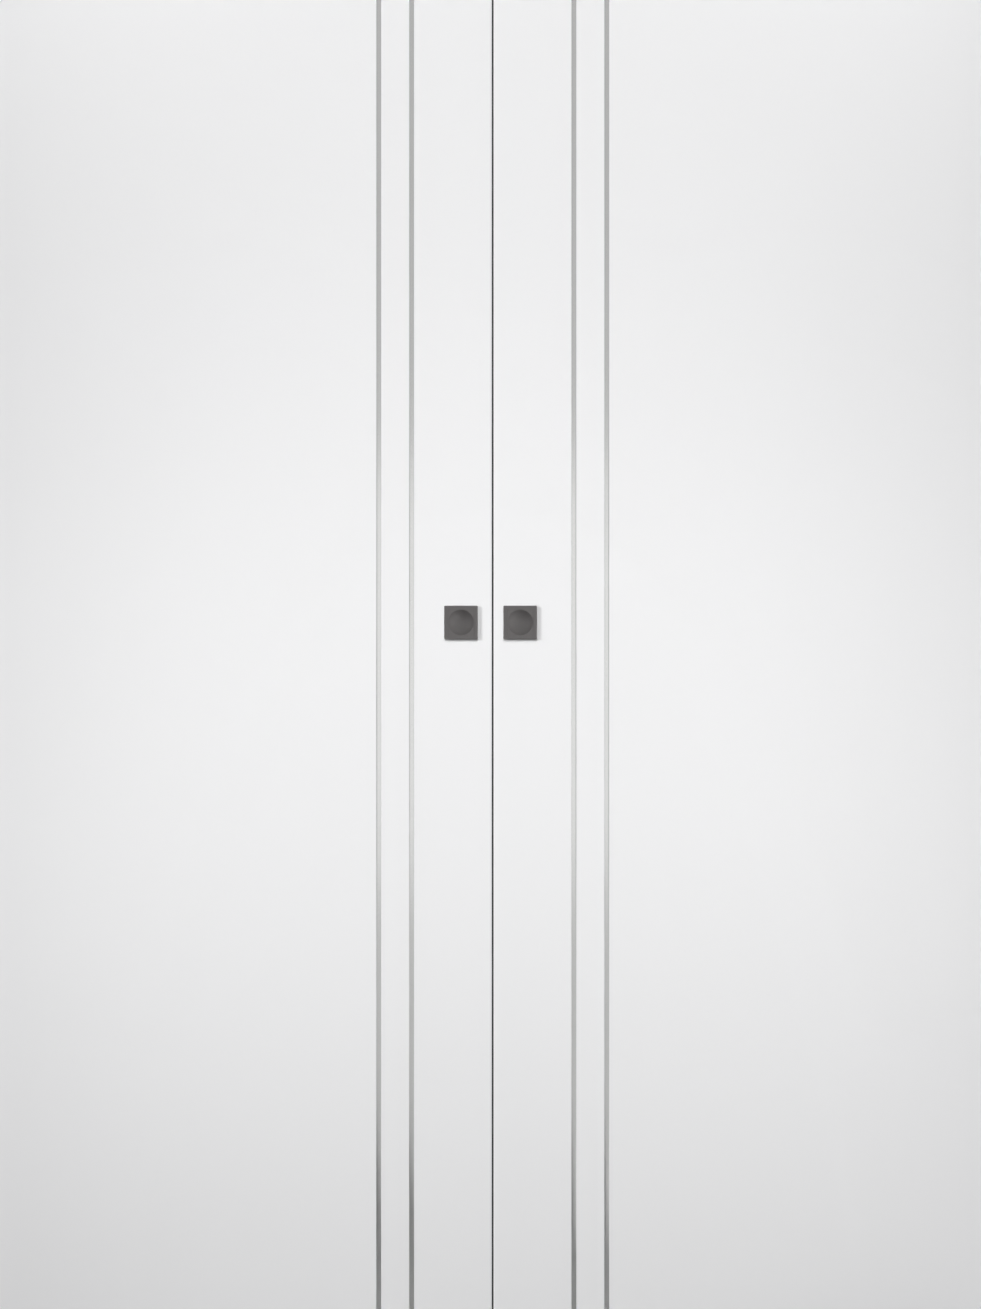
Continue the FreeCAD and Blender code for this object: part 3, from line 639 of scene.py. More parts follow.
LACQUER = Lacquer("satin_white_lacquer", Slot.WHITE_LACQUER, (0.86, 0.86, 0.867), 0.42)
INLAY = GrainedMetal(
    "drawn_inlay_metal", Slot.INLAY_METAL, (0.80, 0.80, 0.795), 0.15, line_length=90 * MM,
)
GUNMETAL = CastMetal("gunmetal_plating", Slot.GUNMETAL, (0.205, 0.196, 0.194), 0.5, metallic=0.4)
ZINC = ZincPlate("bright_zinc", Slot.ZINC_STEEL, (0.62, 0.63, 0.645), 0.32)
STEEL = GrainedMetal(
    "ground_steel", Slot.AXLE_STEEL, (0.50, 0.50, 0.51), 0.28,
    Axis.Y, line=0.12 * MM, line_length=6 * MM, line_depth=0.003 * MM,
)
NYLON = Moulding("white_nylon", Slot.WHEEL_NYLON, (0.82, 0.81, 0.77), 0.45)
RUBBER = Moulding(
    "black_rubber", Slot.SEAL_RUBBER, (0.03, 0.03, 0.03), 0.7,
    texture=0.35 * MM, texture_depth=0.03 * MM, tone=0.2,
)
STILE_TIMBER = Timber("upright_timber", Slot.TIMBER, (0.70, 0.53, 0.33), 0.55)
RAIL_TIMBER = replace(STILE_TIMBER, name="level_timber", axis=Axis.X)
FINISHES: dict[Slot, Finish] = {
    finish.slot: finish
    for finish in (
        *(LACQUER, INLAY, GUNMETAL, ZINC, STEEL, NYLON, RUBBER, STILE_TIMBER),
        PressedBoard("tubular_chipboard", Slot.TUBULAR_BOARD, (0.55, 0.42, 0.28), 0.8),
        Moulding("socket_moulding", Slot.SOCKET_PLASTIC, (0.05, 0.05, 0.05), 0.55, tone=0.15),
        GrainedMetal(
            "extruded_track", Slot.TRACK_ALUMINIUM, (0.72, 0.72, 0.725), 0.36,
            Axis.X, line=0.5 * MM, line_length=0.3, line_depth=0.01 * MM,
        ),
        GrainedMetal(
            "anodised_fascia", Slot.FASCIA_ALUMINIUM, (0.78, 0.78, 0.775), 0.33,
            Axis.X, line=0.2 * MM, line_length=0.12,
        ),
        Moulding(
            "cap_moulding", Slot.CAP_PLASTIC, (0.5, 0.5, 0.5), 0.5,
            texture=0.7 * MM, texture_depth=0.04 * MM,
        ),
        CastMetal(
            "raw_zinc_casting", Slot.TROLLEY_METAL, (0.45, 0.45, 0.46), 0.45,
            grain=0.5 * MM, grain_depth=0.03 * MM, blotch=6 * MM,
        ),
        Moulding("black_nylon", Slot.GUIDE_NYLON, (0.07, 0.07, 0.07), 0.45, tone=0.15),
    )
}


@dataclass(frozen=True)
class Box:
    """The lowest and highest corner of a solid."""

    low: Vector
    high: Vector

    @property
    def centre(self) -> Vector:
        """The middle of the box."""
        return (self.low + self.high) / 2

    @property
    def size(self) -> Vector:
        """The lengths of the box's sides."""
        return self.high - self.low


def solids(node: str) -> list[Box]:
    """Finds the separate solids of a node.

    Args:
        node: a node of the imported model.

    Returns:
        The box of each solid, in order along X, then Y, then Z.
    """
    mesh = bmesh.new()
    mesh.from_mesh(frame["nodes"][node].data)
    bmesh.ops.remove_doubles(mesh, verts=mesh.verts[:], dist=LEVEL)
    boxes = []
    waiting = set(mesh.verts)
    while waiting:
        island = [waiting.pop()]
        for vert in island:
            beside = {edge.other_vert(vert) for edge in vert.link_edges} & waiting
            waiting -= beside
            island.extend(beside)
        corners = [tuple(pick(vert.co[i] for vert in island) for i in range(3)) for pick in (min, max)]
        boxes.append(Box(*map(Vector, corners)))
    mesh.free()
    return sorted(boxes, key=lambda box: tuple(round(value, 6) for value in box.low))


def placed(name: str, data: bpy.types.ID) -> bpy.types.Object:
    """Adds an object to the scene.

    Args:
        name: its name.
        data: its mesh, lamp or camera.

    Returns:
        The object.
    """
    made = bpy.data.objects.new(name, data)
    bpy.context.scene.collection.objects.link(made)
    return made


def verts_of(made: Iterable[object]) -> list[BMVert]:
    """The vertices among what an operator made."""
    return [item for item in made if isinstance(item, BMVert)]


class Form:
    """A mesh in the making, shaped with mesh operators."""

    def __init__(self) -> None:
        """Starts an empty mesh."""
        self.mesh = bmesh.new()

    def chain(self, points: Iterable[Vector], closed: bool = False) -> list[BMVert | BMEdge]:
        """A few vertices joined in a row.

        Args:
            points: where they stand.
            closed: whether the last one is joined to the first.

        Returns:
            The vertices and the edges.
        """
        verts = [self.mesh.verts.new(point) for point in points]
        ends = verts[1:] + verts[:1] if closed else verts[1:]
        return [*verts, *(self.mesh.edges.new(pair) for pair in zip(verts, ends))]

    def weld(self) -> None:
        """Merges vertices that stand in one place."""
        bmesh.ops.remove_doubles(self.mesh, verts=self.mesh.verts[:], dist=WELD)

    def turned(
        self,
        profile: Section,
        axis: Axis = Axis.Z,
        steps: int = 48,
        closed: bool = False,
    ) -> None:
        """A turned shape about an axis through the origin.

        Args:
            profile: the section.
            axis: the centre line.
            steps: how many faces go round.
            closed: whether the section is a ring that doesn't reach the axis.
        """
        points = [axis.across * radius + axis.along * along for radius, along in profile]
        self.spin(self.chain(points, closed), axis, steps)

    def spin(self, section: Sequence[BMVert | BMEdge], axis: Axis, steps: int) -> None:
        """Turns a section once round an axis through the origin, in this many steps."""
        self.sweep(section, axis, math.tau, steps, use_merge=True)
        self.weld()

    def arc(self, start: BMVert, middle: Vector, axis: Axis, angle: float, steps: int) -> BMVert:
        """Draws an arc from a vertex about this centre and axis, and returns the vertex at its end."""
        return verts_of(self.sweep([start], axis, angle, steps, cent=middle))[0]

    def sweep(
        self, section: Sequence[object], axis: Axis, angle: float, steps: int, **more: object
    ) -> list[object]:
        """Turns a section about an axis.

        Args:
            section: its vertices, edges and faces.
            axis: the axis, which goes through the origin unless more has another cent.
            angle: how far it turns.
            steps: how many steps it makes.
            more: other settings of the spin operator.

        Returns:
            What the last step made.
        """
        settings = {"cent": (0, 0, 0), "axis": axis.along, "angle": angle, "steps": steps, **more}
        return bmesh.ops.spin(self.mesh, geom=section, **settings)["geom_last"]

    def ridge(
        self,
        root: float,
        crest: float,
        pitch: float,
        low: float,
        high: float,
        foot: float = 0.84,
        steps: int = 14,
    ) -> None:
        """A thread's ridge, wound up the Z axis.

        Args:
            root: radius of its foot, a little inside the core.
            crest: radius of its edge.
            pitch: rise of one turn.
            low: where it starts.
            high: where it ends.
            foot: height of its foot as a share of the pitch.
            steps: how many faces go round.
        """
        half = foot / 2 * pitch
        turns = (high - low - 2 * half) / pitch
        corners = ((root, low), (crest, low + half), (root, low + 2 * half))
        section = self.chain((Vector((radius, 0, level)) for radius, level in corners), True)
        section.append(self.mesh.faces.new(section[:3]))
        count = math.ceil(turns * steps)
        rise = (0, 0, turns * pitch / count)
        self.sweep(section, Axis.Z, turns * math.tau, count, dvec=rise)

    def ring(self, radius: float, level: float, segments: int, turn: float = 0.0) -> list[BMEdge]:
        """A round or many-sided loop about the Z axis.

        Args:
            radius: radius of its corners.
            level: its height.
            segments: how many sides it has.
            turn: angle that it is turned by.

        Returns:
            Its edges.
        """
        place = Matrix.Translation((0, 0, level)) @ Matrix.Rotation(turn, 4, "Z")
        made = bmesh.ops.create_circle(self.mesh, segments=segments, radius=radius, matrix=place)
        return list(dict.fromkeys(edge for vert in made["verts"] for edge in vert.link_edges))

    def square(self, half: float, corner: float, level: float, segments: int = 8) -> list[BMEdge]:
        """A square loop with rounded corners about the Z axis.

        Args:
            half: half its width.
            corner: radius of its corners.
            level: its height.
            segments: how many sides each corner has.

        Returns:
            Its edges.
        """
        before = set(self.mesh.faces)
        bmesh.ops.bevel(
            self.mesh,
            geom=self.sheet(half, level),
            offset=corner,
            offset_type="OFFSET",
            segments=segments,
            profile=0.5,
            affect="VERTICES",
            material=-1,
        )
        made = [face for face in self.mesh.faces if face not in before]
        loop = list(made[0].edges)
        bmesh.ops.delete(self.mesh, geom=made, context="FACES_ONLY")
        return loop

    def sheet(self, half: float, level: float) -> list[BMVert]:
        """A level square about the Z axis.

        Args:
            half: half its width.
            level: its height.

        Returns:
            Its corners.
        """
        place = Matrix.Translation((0, 0, level))
        made = bmesh.ops.create_grid(self.mesh, x_segments=1, y_segments=1, size=half, matrix=place)
        return made["verts"]

    def fill(self, *loops: Iterable[BMEdge]) -> None:
        """Fills the level area that lies between loops."""
        edges = [edge for loop in loops for edge in loop]
        bmesh.ops.triangle_fill(self.mesh, edges=edges, normal=Axis.Z.along, use_beauty=True)

    def rim(self, level: float) -> list[BMEdge]:
        """Finds the open edges at one height.

        Args:
            level: the height.

        Returns:
            The edges.
        """
        return [
            edge
            for edge in self.mesh.edges
            if edge.is_boundary and all(abs(vert.co.z - level) < LEVEL for vert in edge.verts)
        ]

    def raise_loop(self, loop: Sequence[BMEdge], rise: float, widen: float = 1.0) -> list[BMEdge]:
        """Extrudes a loop along Z.

        Args:
            loop: its edges.
            rise: how far it goes up.
            widen: factor on its distance from the Z axis.

        Returns:
            The new loop's edges.
        """
        made = bmesh.ops.extrude_edge_only(self.mesh, edges=list(loop))["geom"]
        verts = verts_of(made)
        bmesh.ops.scale(self.mesh, vec=(widen, widen, 1.0), verts=verts)
        bmesh.ops.translate(self.mesh, vec=(0, 0, rise), verts=verts)
        raised = set(verts)
        return [item for item in made if isinstance(item, BMEdge) and raised.issuperset(item.verts)]

    def soften(
        self,
        radius: float,
        segments: int = 2,
        where: Callable[[BMEdge], bool] = lambda edge: True,
        sharper: float = 35.0,
    ) -> None:
        """Rounds sharp edges.

        Args:
            radius: how far from the edge the rounding starts.
            segments: how many faces it has.
            where: which edges are rounded.
            sharper: least angle in degrees between an edge's faces.
        """
        least = math.radians(sharper)
        edges = [edge for edge in self.mesh.edges if edge.is_manifold and where(edge)]
        bmesh.ops.bevel(
            self.mesh,
            geom=[edge for edge in edges if edge.calc_face_angle() > least],
            offset=radius,
            offset_type="OFFSET",
            segments=segments,
            profile=0.5,
            affect="EDGES",
            material=-1,
            clamp_overlap=True,
        )

    def moved(self, place: Matrix) -> "Form":
        """Moves the whole form to its place, and returns it."""
        self.mesh.transform(place)
        return self

    def add(self, other: "Form", place: Matrix) -> None:
        """Takes in a copy of another form.

        Args:
            other: the other form.
            place: where the copy goes.
        """
        copy = bpy.data.meshes.new("copy")
        other.mesh.to_mesh(copy)
        copy.transform(place)
        self.mesh.from_mesh(copy)
        bpy.data.meshes.remove(copy)

    def piece(self, name: str, finish: Finish, body: str, *replaced: str) -> bpy.types.Object:
        """Makes the form a piece of the door.

        Args:
            name: the piece's name.
            finish: its finish.
            body: the body that it moves with.
            replaced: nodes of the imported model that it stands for.

        Returns:
            The new object.
        """
        self.weld()
        bmesh.ops.recalc_face_normals(self.mesh, faces=self.mesh.faces[:])
        mesh = bpy.data.meshes.new(name)
        self.mesh.to_mesh(mesh)
        self.mesh.free()
        mesh.shade_smooth()
        mesh.set_sharp_from_angle(angle=SMOOTH_BELOW)
        mesh.materials.append(finish.material())
        made = placed(name, mesh)
        shading = made.modifiers.new("flat_faces_stay_flat", "WEIGHTED_NORMAL")
        shading.keep_sharp = True
        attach(made, body)
        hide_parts(*replaced)
        LOG.info("%s: %d faces, rides on %s", name, len(mesh.polygons), body)
        return made


def above(level: float) -> Callable[[BMEdge], bool]:
    """A test for edges that lie above a height."""
    return lambda edge: all(vert.co.z > level for vert in edge.verts)


@dataclass
class Pull:
    """A square dished pull with a raised rim, cast in one with the barrel that plugs into the leaf."""

    side: Side
    corner: float = 1.4 * MM
    edge: float = 1.2 * MM
    rim: float = 4.6 * MM
    field_drop: float = 0.6 * MM
    field_slope: float = 0.12 * MM
    dish: float = 38 * MM
    dish_depth: float = 9 * MM
    lip: float = 0.8 * MM
    barrel: float = 41 * MM
    barrel_edge: float = 0.6 * MM
    steps: int = 72
    edge_steps: int = 6
    dish_steps: int = 20

    def build(self) -> None:
        """Models the pull lying on its back, and stands it in its place."""
        node = self.side.node("pull_plate")
        box = Box(*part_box(node))
        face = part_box(self.side.node("front_skin"))[0].y
        proud = face - box.low.y
        form = Form()
        self._plate(form, box.size.x, proud)
        self._dish(form, proud - self.field_drop)
        self._barrel(form, box.high.y - face)
        upright = Matrix.Rotation(math.pi / 2, 4, "X")
        form.moved(Matrix.Translation((box.centre.x, face, box.centre.z)) @ upright)
        form.piece(self.side.node("pull"), GUNMETAL, self.side.body, node)

    def _plate(self, form: Form, width: float, proud: float) -> None:
        """Makes the square plate with its rim, open in the middle and behind.

        Args:
            form: the pull in the making.
            width: width of the plate.
            proud: how far it stands out from the leaf.
        """
        mesh = form.mesh
        front = form.raise_loop(form.square(width / 2, self.corner, 0.0), proud)
        bmesh.ops.edgeloop_fill(mesh, edges=front)
        bmesh.ops.recalc_face_normals(mesh, faces=mesh.faces[:])
        form.soften(self.edge, self.edge_steps, above(proud / 2))
        cap = [max(mesh.faces, key=lambda each: each.calc_area())]
        outer = list(cap[0].edges)
        bmesh.ops.delete(mesh, geom=cap, context="FACES_ONLY")
        inside = width / 2 - self.rim
        step = form.raise_loop(outer, 0.0, inside / (width / 2 - self.edge))
        form.raise_loop(step, -self.field_drop, (inside - self.field_slope) / inside)

    def _dish(self, form: Form, level: float) -> None:
        """Turns the dish with its rounded lip, and joins it to the plate's field.

        Args:
            form: the pull in the making.
            level: height of the field.
        """
        half, depth, lip = self.dish / 2, self.dish_depth, self.lip
        sphere = (half**2 + depth**2) / (2 * depth)
        centre = sphere - depth
        reach = math.acos((centre + lip) / (sphere + lip))
        bottom = form.mesh.verts.new((0, 0, level - depth))
        edge = form.arc(bottom, Vector((0, 0, level + centre)), Axis.Y, -reach, self.dish_steps)
        lip_centre = Vector(((sphere + lip) * math.sin(reach), 0, level - lip))
        form.arc(edge, lip_centre, Axis.Y, reach, self.edge_steps)
        section = [item for item in (*form.mesh.verts, *form.mesh.edges) if not item.link_faces]
        form.spin(section, Axis.Z, self.steps)
        form.fill(form.rim(level))

    def _barrel(self, form: Form, depth: float) -> None:
        """Adds the barrel and joins it to the back of the plate.

        Args:
            form: the pull in the making.
            depth: how far the barrel goes into the leaf.
        """
        radius, edge = self.barrel / 2, self.barrel_edge
        profile = [(radius, 0), (radius, edge - depth), (radius - edge, -depth), (0, -depth)]
        form.turned(profile, steps=self.steps)
        form.fill(form.rim(0.0))


@dataclass
class Inlays:
    """The drawn metal strips that are let into the face of a leaf."""

    side: Side
    crown: float = 0.4 * MM
    steps: int = 20

    def build(self) -> None:
        """Models the strips on the boxes of their solids."""
        node = self.side.node("inlays")
        form = Form()
        for box in solids(node):
            self._strip(form, box)
        form.piece(self.side.node("inlay_strips"), INLAY, self.side.body, node)

    def _strip(self, form: Form, box: Box) -> None:
        """Adds one strip with its crowned face to the room.

        Args:
            form: the strips in the making.
            box: the box of the strip's solid.
        """
        half = box.size.x / 2
        radius = (half**2 + self.crown**2) / (2 * self.crown)
        mesh = form.mesh
        start = mesh.verts.new((box.low.x, box.low.y + self.crown, box.low.z))
        before = set(mesh.edges)
        middle = Vector((box.centre.x, box.low.y + radius, box.low.z))
        form.arc(start, middle, Axis.Z, 2 * math.asin(half / radius), self.steps)
        arc = [edge for edge in mesh.edges if edge not in before]
        made = bmesh.ops.extrude_edge_only(mesh, edges=arc)["geom"]
        plane = Matrix.Translation((0, -box.high.y, 0))
        bmesh.ops.scale(mesh, vec=(1, 0, 1), space=plane, verts=verts_of(made))
        foot = [item for item in made if isinstance(item, BMFace)]
        top = bmesh.ops.extrude_face_region(mesh, geom=foot)["geom"]
        bmesh.ops.translate(mesh, vec=(0, 0, box.size.z), verts=verts_of(top))


@dataclass
class Fastener:
    """A threaded piece, built head up on the Z axis with its seat at the origin."""

    head: float
    head_height: float
    shank: float
    length: float
    pitch: float
    core_share: float = 0.42
    tip: float = 0.4 * MM
    root_sink: float = 0.1 * MM
    steps: int = 28

    @property
    def core(self) -> float:
        """Radius of the core that the thread winds round."""
        return self.core_share * self.shank

    def blunt_end(self) -> list[tuple[float, float]]:
        """Section of the core's lower end, with its chamfered tip."""
        end = -self.length
        return [(self.core, end + self.tip), (self.core - self.tip, end), (0, end)]

    def thread(self, form: Form, low: float, high: float) -> None:
        """Winds the thread round the core between two heights."""
        form.ridge(self.core - self.root_sink, self.shank / 2, self.pitch, low, high)


@dataclass
class CrossScrew(Fastener):
    """A screw whose flat top has a cross recess."""

    recess: float = 1.0 * MM
    recess_depth: float = 1.5 * MM
    recess_share: float = 0.23
    recess_flare: float = 1.12

    def recessed(self, profile: Section, level: float) -> Form:
        """Turns head and shank, and sinks the recess into the top.

        Args:
            profile: section from the edge of the top down to the tip.
            level: height of the top.

        Returns:
            The screw without its thread.
        """
        form = Form()
        form.turned(profile, steps=self.steps)
        arm, floor = self.recess / 2, level - self.recess_depth
        form.sheet(arm, floor)
        for edge in form.rim(floor):
            out = (edge.verts[0].co + edge.verts[1].co) / 2
            made = bmesh.ops.extrude_edge_only(form.mesh, edges=[edge])["geom"]
            reach = Vector((out.x, out.y, 0)).normalized() * (self.recess_share * self.head - arm)
            bmesh.ops.translate(form.mesh, vec=reach, verts=verts_of(made))
        form.raise_loop(form.rim(floor), self.recess_depth, self.recess_flare)
        form.fill(form.rim(level))
        return form


@dataclass
class WoodScrew(CrossScrew):
    """A pointed screw with a flat countersunk head, whose top is at the origin's height."""

    core_share: float = 0.36
    recess_depth: float = 1.6 * MM
    rim_in: float = 0.2 * MM
    rim_down: float = 0.25 * MM
    neck_share: float = 0.35

    def build(self) -> Form:
        """Makes head, neck, point and thread.

        Returns:
            The screw.
        """
        head, shank = self.head / 2, self.shank / 2
        neck = -self.neck_share * self.length
        taper, point = neck - shank / 2, 4 * shank - self.length
        profile = [
            (head - self.rim_in, 0),
            (head, -self.rim_down),
            (shank, -self.head_height),
            (shank, neck),
            (self.core, taper),
            (self.core, point),
            (0, -self.length),
        ]
        form = self.recessed(profile, 0.0)
        self.thread(form, point, taper)
        return form


@dataclass
class PanScrew(CrossScrew):
    """A machine screw with a low round head above the origin, whose crown is given in shares of it."""

    crown: Section = ((0.62, 1.0), (0.84, 0.86), (0.96, 0.55), (1.0, 0.2), (1.0, 0.0))

    def build(self) -> Form:
        """Makes head, shank and thread.

        Returns:
            The screw.
        """
        radius, height = self.head / 2, self.head_height
        head = [(across * radius, up * height) for across, up in self.crown]
        form = self.recessed([*head, (self.core, 0), *self.blunt_end()], height)
        self.thread(form, self.tip - self.length, 0)
        return form


@dataclass
class HexBolt(Fastener):
    """A bolt with a six-sided head above the origin; the head's size is across its flats."""

    core_share: float = 0.43
    tip: float = 0.8 * MM
    head_edge: float = 0.5 * MM

    def build(self) -> Form:
        """Makes head, shank and thread.

        Returns:
            The bolt.
        """
        form = Form()
        corner, middle = self.head / math.sqrt(3), self.head_height / 2
        bmesh.ops.create_cone(
            form.mesh,
            cap_ends=True,
            segments=HEX_SIDES,
            radius1=corner,
            radius2=corner,
            depth=self.head_height,
            matrix=Matrix.Translation((0, 0, middle)) @ Matrix.Rotation(HEX_TURN, 4, "Z"),
        )
        form.soften(self.head_edge, where=above(middle))
        form.turned([(self.core, 0), *self.blunt_end()], steps=self.steps)
        bmesh.ops.edgeloop_fill(form.mesh, edges=form.rim(0.0))
        self.thread(form, self.tip - self.length, 0)
        return form


@dataclass
class GrubScrew(Fastener):
    """A headless set screw; the head's size is that of its six-sided socket, across the flats."""

    tip: float = 0.9 * MM
    edge: float = 0.3 * MM
    socket_depth: float = 3.5 * MM

    def build(self) -> Form:
        """Makes core, socket and thread.

        Returns:
            The screw.
        """
        form = Form()
        top = [(self.core - self.edge, 0), (self.core, -self.edge)]
        form.turned([*top, *self.blunt_end()], steps=self.steps)
        rim = form.rim(0.0)
        socket = form.ring(self.head / math.sqrt(3), 0.0, HEX_SIDES)
        form.fill(form.raise_loop(socket, -self.socket_depth))
        form.fill(rim, socket)
        self.thread(form, self.tip - self.length, -self.edge)
        return form


@dataclass
class Nut:
    """A six-sided nut with its foot at the origin."""

    flats: float
    bore: float
    height: float
    chamfer: float = 0.5 * MM
    bore_steps: int = 24

    @property
    def corner(self) -> float:
        """Radius of the nut's corners."""
        return self.flats / math.sqrt(3)

    def build(self) -> Form:
        """Makes the nut's walls, bore and chamfered corners.

        Returns:
            The nut.
        """
        form = Form()
        walls = form.ring(self.corner, 0.0, HEX_SIDES, HEX_TURN)
        loops = (walls, form.ring(self.bore / 2, 0.0, self.bore_steps))
        form.fill(*(form.raise_loop(loop, self.height) for loop in loops))
        form.fill(*loops)
        bmesh.ops.recalc_face_normals(form.mesh, faces=form.mesh.faces[:])
        form.soften(self.chamfer, where=self._on_end)
        return form

    def _on_end(self, edge: BMEdge) -> bool:
        """Tells the edges that are chamfered from the others.

        Args:
            edge: an edge of the nut.

        Returns:
            Whether it joins two corners round one end.
        """
        first, second = edge.verts
        level = abs(first.co.z - second.co.z) < LEVEL
        least = min(first.co.xy.length, second.co.xy.length)
        return level and least > (self.corner + self.bore / 2) / 2


def up_from(box: Box) -> Matrix:
    """Places a fastener whose foot is at the bottom of its box."""
    return Matrix.Translation((box.centre.x, box.centre.y, box.low.z))


def up_to(box: Box) -> Matrix:
    """Places a fastener whose top is at the top of its box."""
    return Matrix.Translation((box.centre.x, box.centre.y, box.high.z))


def down_from(box: Box) -> Matrix:
    """Places a fastener whose head is at the bottom of its box, upside down."""
    return up_from(box) @ Matrix.Rotation(math.pi, 4, "X")


def centred_on(box: Box) -> Matrix:
    """Places a shape whose middle is at the middle of its box."""
    return Matrix.Translation(box.centre)


def lay_out(
    name: str,
    shape: Form,
    node: str,
    place: Callable[[Box], Matrix],
    finish: Finish,
    body: str,
    replaces: bool = True,
) -> None:
    """Puts a copy of a shape on each solid of a node, as one piece.

    Args:
        name: the piece's name.
        shape: one copy, which is used up.
        node: the node with the solids.
        place: gives a copy's place from its solid's box.
        finish: the finish.
        body: the body that the piece moves with.
        replaces: whether the piece stands for the node.
    """
    form = Form()
    for box in solids(node):
        form.add(shape, place(box))
    shape.mesh.free()
    form.piece(name, finish, body, *([node] if replaces else []))


def mirrored(half: Section) -> Section:
    """A section that repeats its half on the other side of the middle, in running order."""
    return [*half, *((radius, -along) for radius, along in reversed(half))]


@dataclass
class HangingGear:
    """Screws, bolts and lock nuts that hang a leaf from its trolleys."""

    side: Side
    bolt: float = 8 * MM
    bolt_pitch: float = 1.25 * MM
    bolt_head: float = 5.3 * MM
    screw: float = 4 * MM
    screw_pitch: float = 1.8 * MM
    screw_head: float = 2.4 * MM

    def build(self) -> None:
        """Models the fasteners on the boxes of their solids."""
        for name, solid, place, make in (
            ("hanging_bolts", "hanger_bolts", down_from, self._bolt),
            ("locking_nuts", "lock_nuts", up_from, self._nut),
            ("bracket_screws", "hanger_screws", up_to, self._screw),
        ):
            node = self.side.node(solid)
            shape = make(solids(node)[0].size)
            lay_out(self.side.node(name), shape, node, place, ZINC, self.side.body)

    def _bolt(self, size: Vector) -> Form:
        """Makes a hanger bolt, which stands on its head.

        Args:
            size: the lengths of its box.

        Returns:
            The bolt, with the top of its head at the origin.
        """
        head = self.bolt_head
        bolt = HexBolt(size.y, head, self.bolt, size.z - head, self.bolt_pitch)
        return bolt.build().moved(Matrix.Translation((0, 0, -head)))

    def _nut(self, size: Vector) -> Form:
        """Makes a lock nut, as under each trolley."""
        return Nut(size.y, self.bolt, size.z).build()

    def _screw(self, size: Vector) -> Form:
        """Makes a wood screw of the hanger brackets."""
        return WoodScrew(size.x, self.screw_head, self.screw, size.z, self.screw_pitch).build()


@dataclass
class Rollers:
    """The nylon rollers of a leaf, with their ball bearings and riveted axles.

    The crown of an axle's head is given by shares of its radius and distances from its end.
    """

    side: Side
    axle: float = 6 * MM
    axle_head: float = 1.2 * MM
    axle_crown: Section = ((0.0, 0.0), (0.55, 0.0), (0.86, 0.25 * MM), (1.0, 0.7 * MM))
    axle_steps: int = 32
    bearing: float = 10.8 * MM
    bearing_inset: float = 0.2 * MM
    bearing_wall: float = 0.28
    bearing_steps: int = 40
    shield_drop: float = 0.3 * MM
    hub: float = 12 * MM
    tyre: float = 19 * MM
    web_drop: float = 1.0 * MM
    web_slope: float = 0.35 * MM
    tread_edge: float = 0.6 * MM
    wheel_edge: float = 0.15 * MM
    wheel_steps: int = 56
    running_gap: float = 0.1 * MM

    def build(self) -> None:
        """Models axles, and the tyres and bearings of each pair."""
        self._axles()
        for end in ("inner", "outer"):
            for place in ("near", "far"):
                node = self.side.node(f"{end}_wheels_{place}")
                size = solids(node)[0].size
                self._tyres(node, size.x / 2, size.y / 2)
                self._bearings(node, size.y / 2 - self.bearing_inset)

    def _axles(self) -> None:
        """Makes the riveted axles."""
        node = self.side.node("axles")
        size = solids(node)[0].size
        head, end = size.x / 2, size.y / 2
        half = [(share * head, drop - end) for share, drop in self.axle_crown]
        half += [(radius, self.axle_head - end) for radius in (head, self.axle / 2)]
        shape = Form()
        shape.turned(mirrored(half), Axis.Y, self.axle_steps)
        lay_out(self.side.node("riveted_axles"), shape, node, centred_on, STEEL, self.side.body)

    def _tyres(self, node: str, radius: float, half: float) -> None:
        """Makes the tyres of a pair, on the body that turns with it.

        Args:
            node: the pair's node and body.
            radius: radius of the tread.
            half: half the width of a tyre.
        """
        hub, tyre, web = self.hub / 2, self.tyre / 2, self.web_drop - half
        side = [
            (self.bearing / 2, -half),
            (hub, -half),
            (hub + self.web_slope, web),
            (tyre - self.web_slope, web),
            (tyre, -half),
            (radius - self.tread_edge, -half),
            (radius, self.tread_edge - half),
        ]
        wheel = Form()
        wheel.turned(mirrored(side), Axis.Y, self.wheel_steps, True)
        bmesh.ops.recalc_face_normals(wheel.mesh, faces=wheel.mesh.faces[:])
        wheel.soften(self.wheel_edge)
        lay_out(f"{node}_tyres", wheel, node, centred_on, NYLON, node)

    def _bearings(self, node: str, half: float) -> None:
        """Makes the ball bearings of a pair: two rings with a sunk shield between them.

        Args:
            node: the pair's node and body.
            half: half the width of a bearing.
        """
        bore, seat = self.axle / 2 + self.running_gap, self.bearing / 2
        wall, shield = self.bearing_wall * (seat - bore), self.shield_drop - half
        side = [
            (bore, -half),
            (bore + wall, -half),
            (bore + wall, shield),
            (seat - wall, shield),
            (seat - wall, -half),
            (seat, -half),
        ]
        ring = Form()
        ring.turned(mirrored(side), Axis.Y, self.bearing_steps, True)
        lay_out(f"{node}_bearings", ring, node, centred_on, STEEL, node, replaces=False)


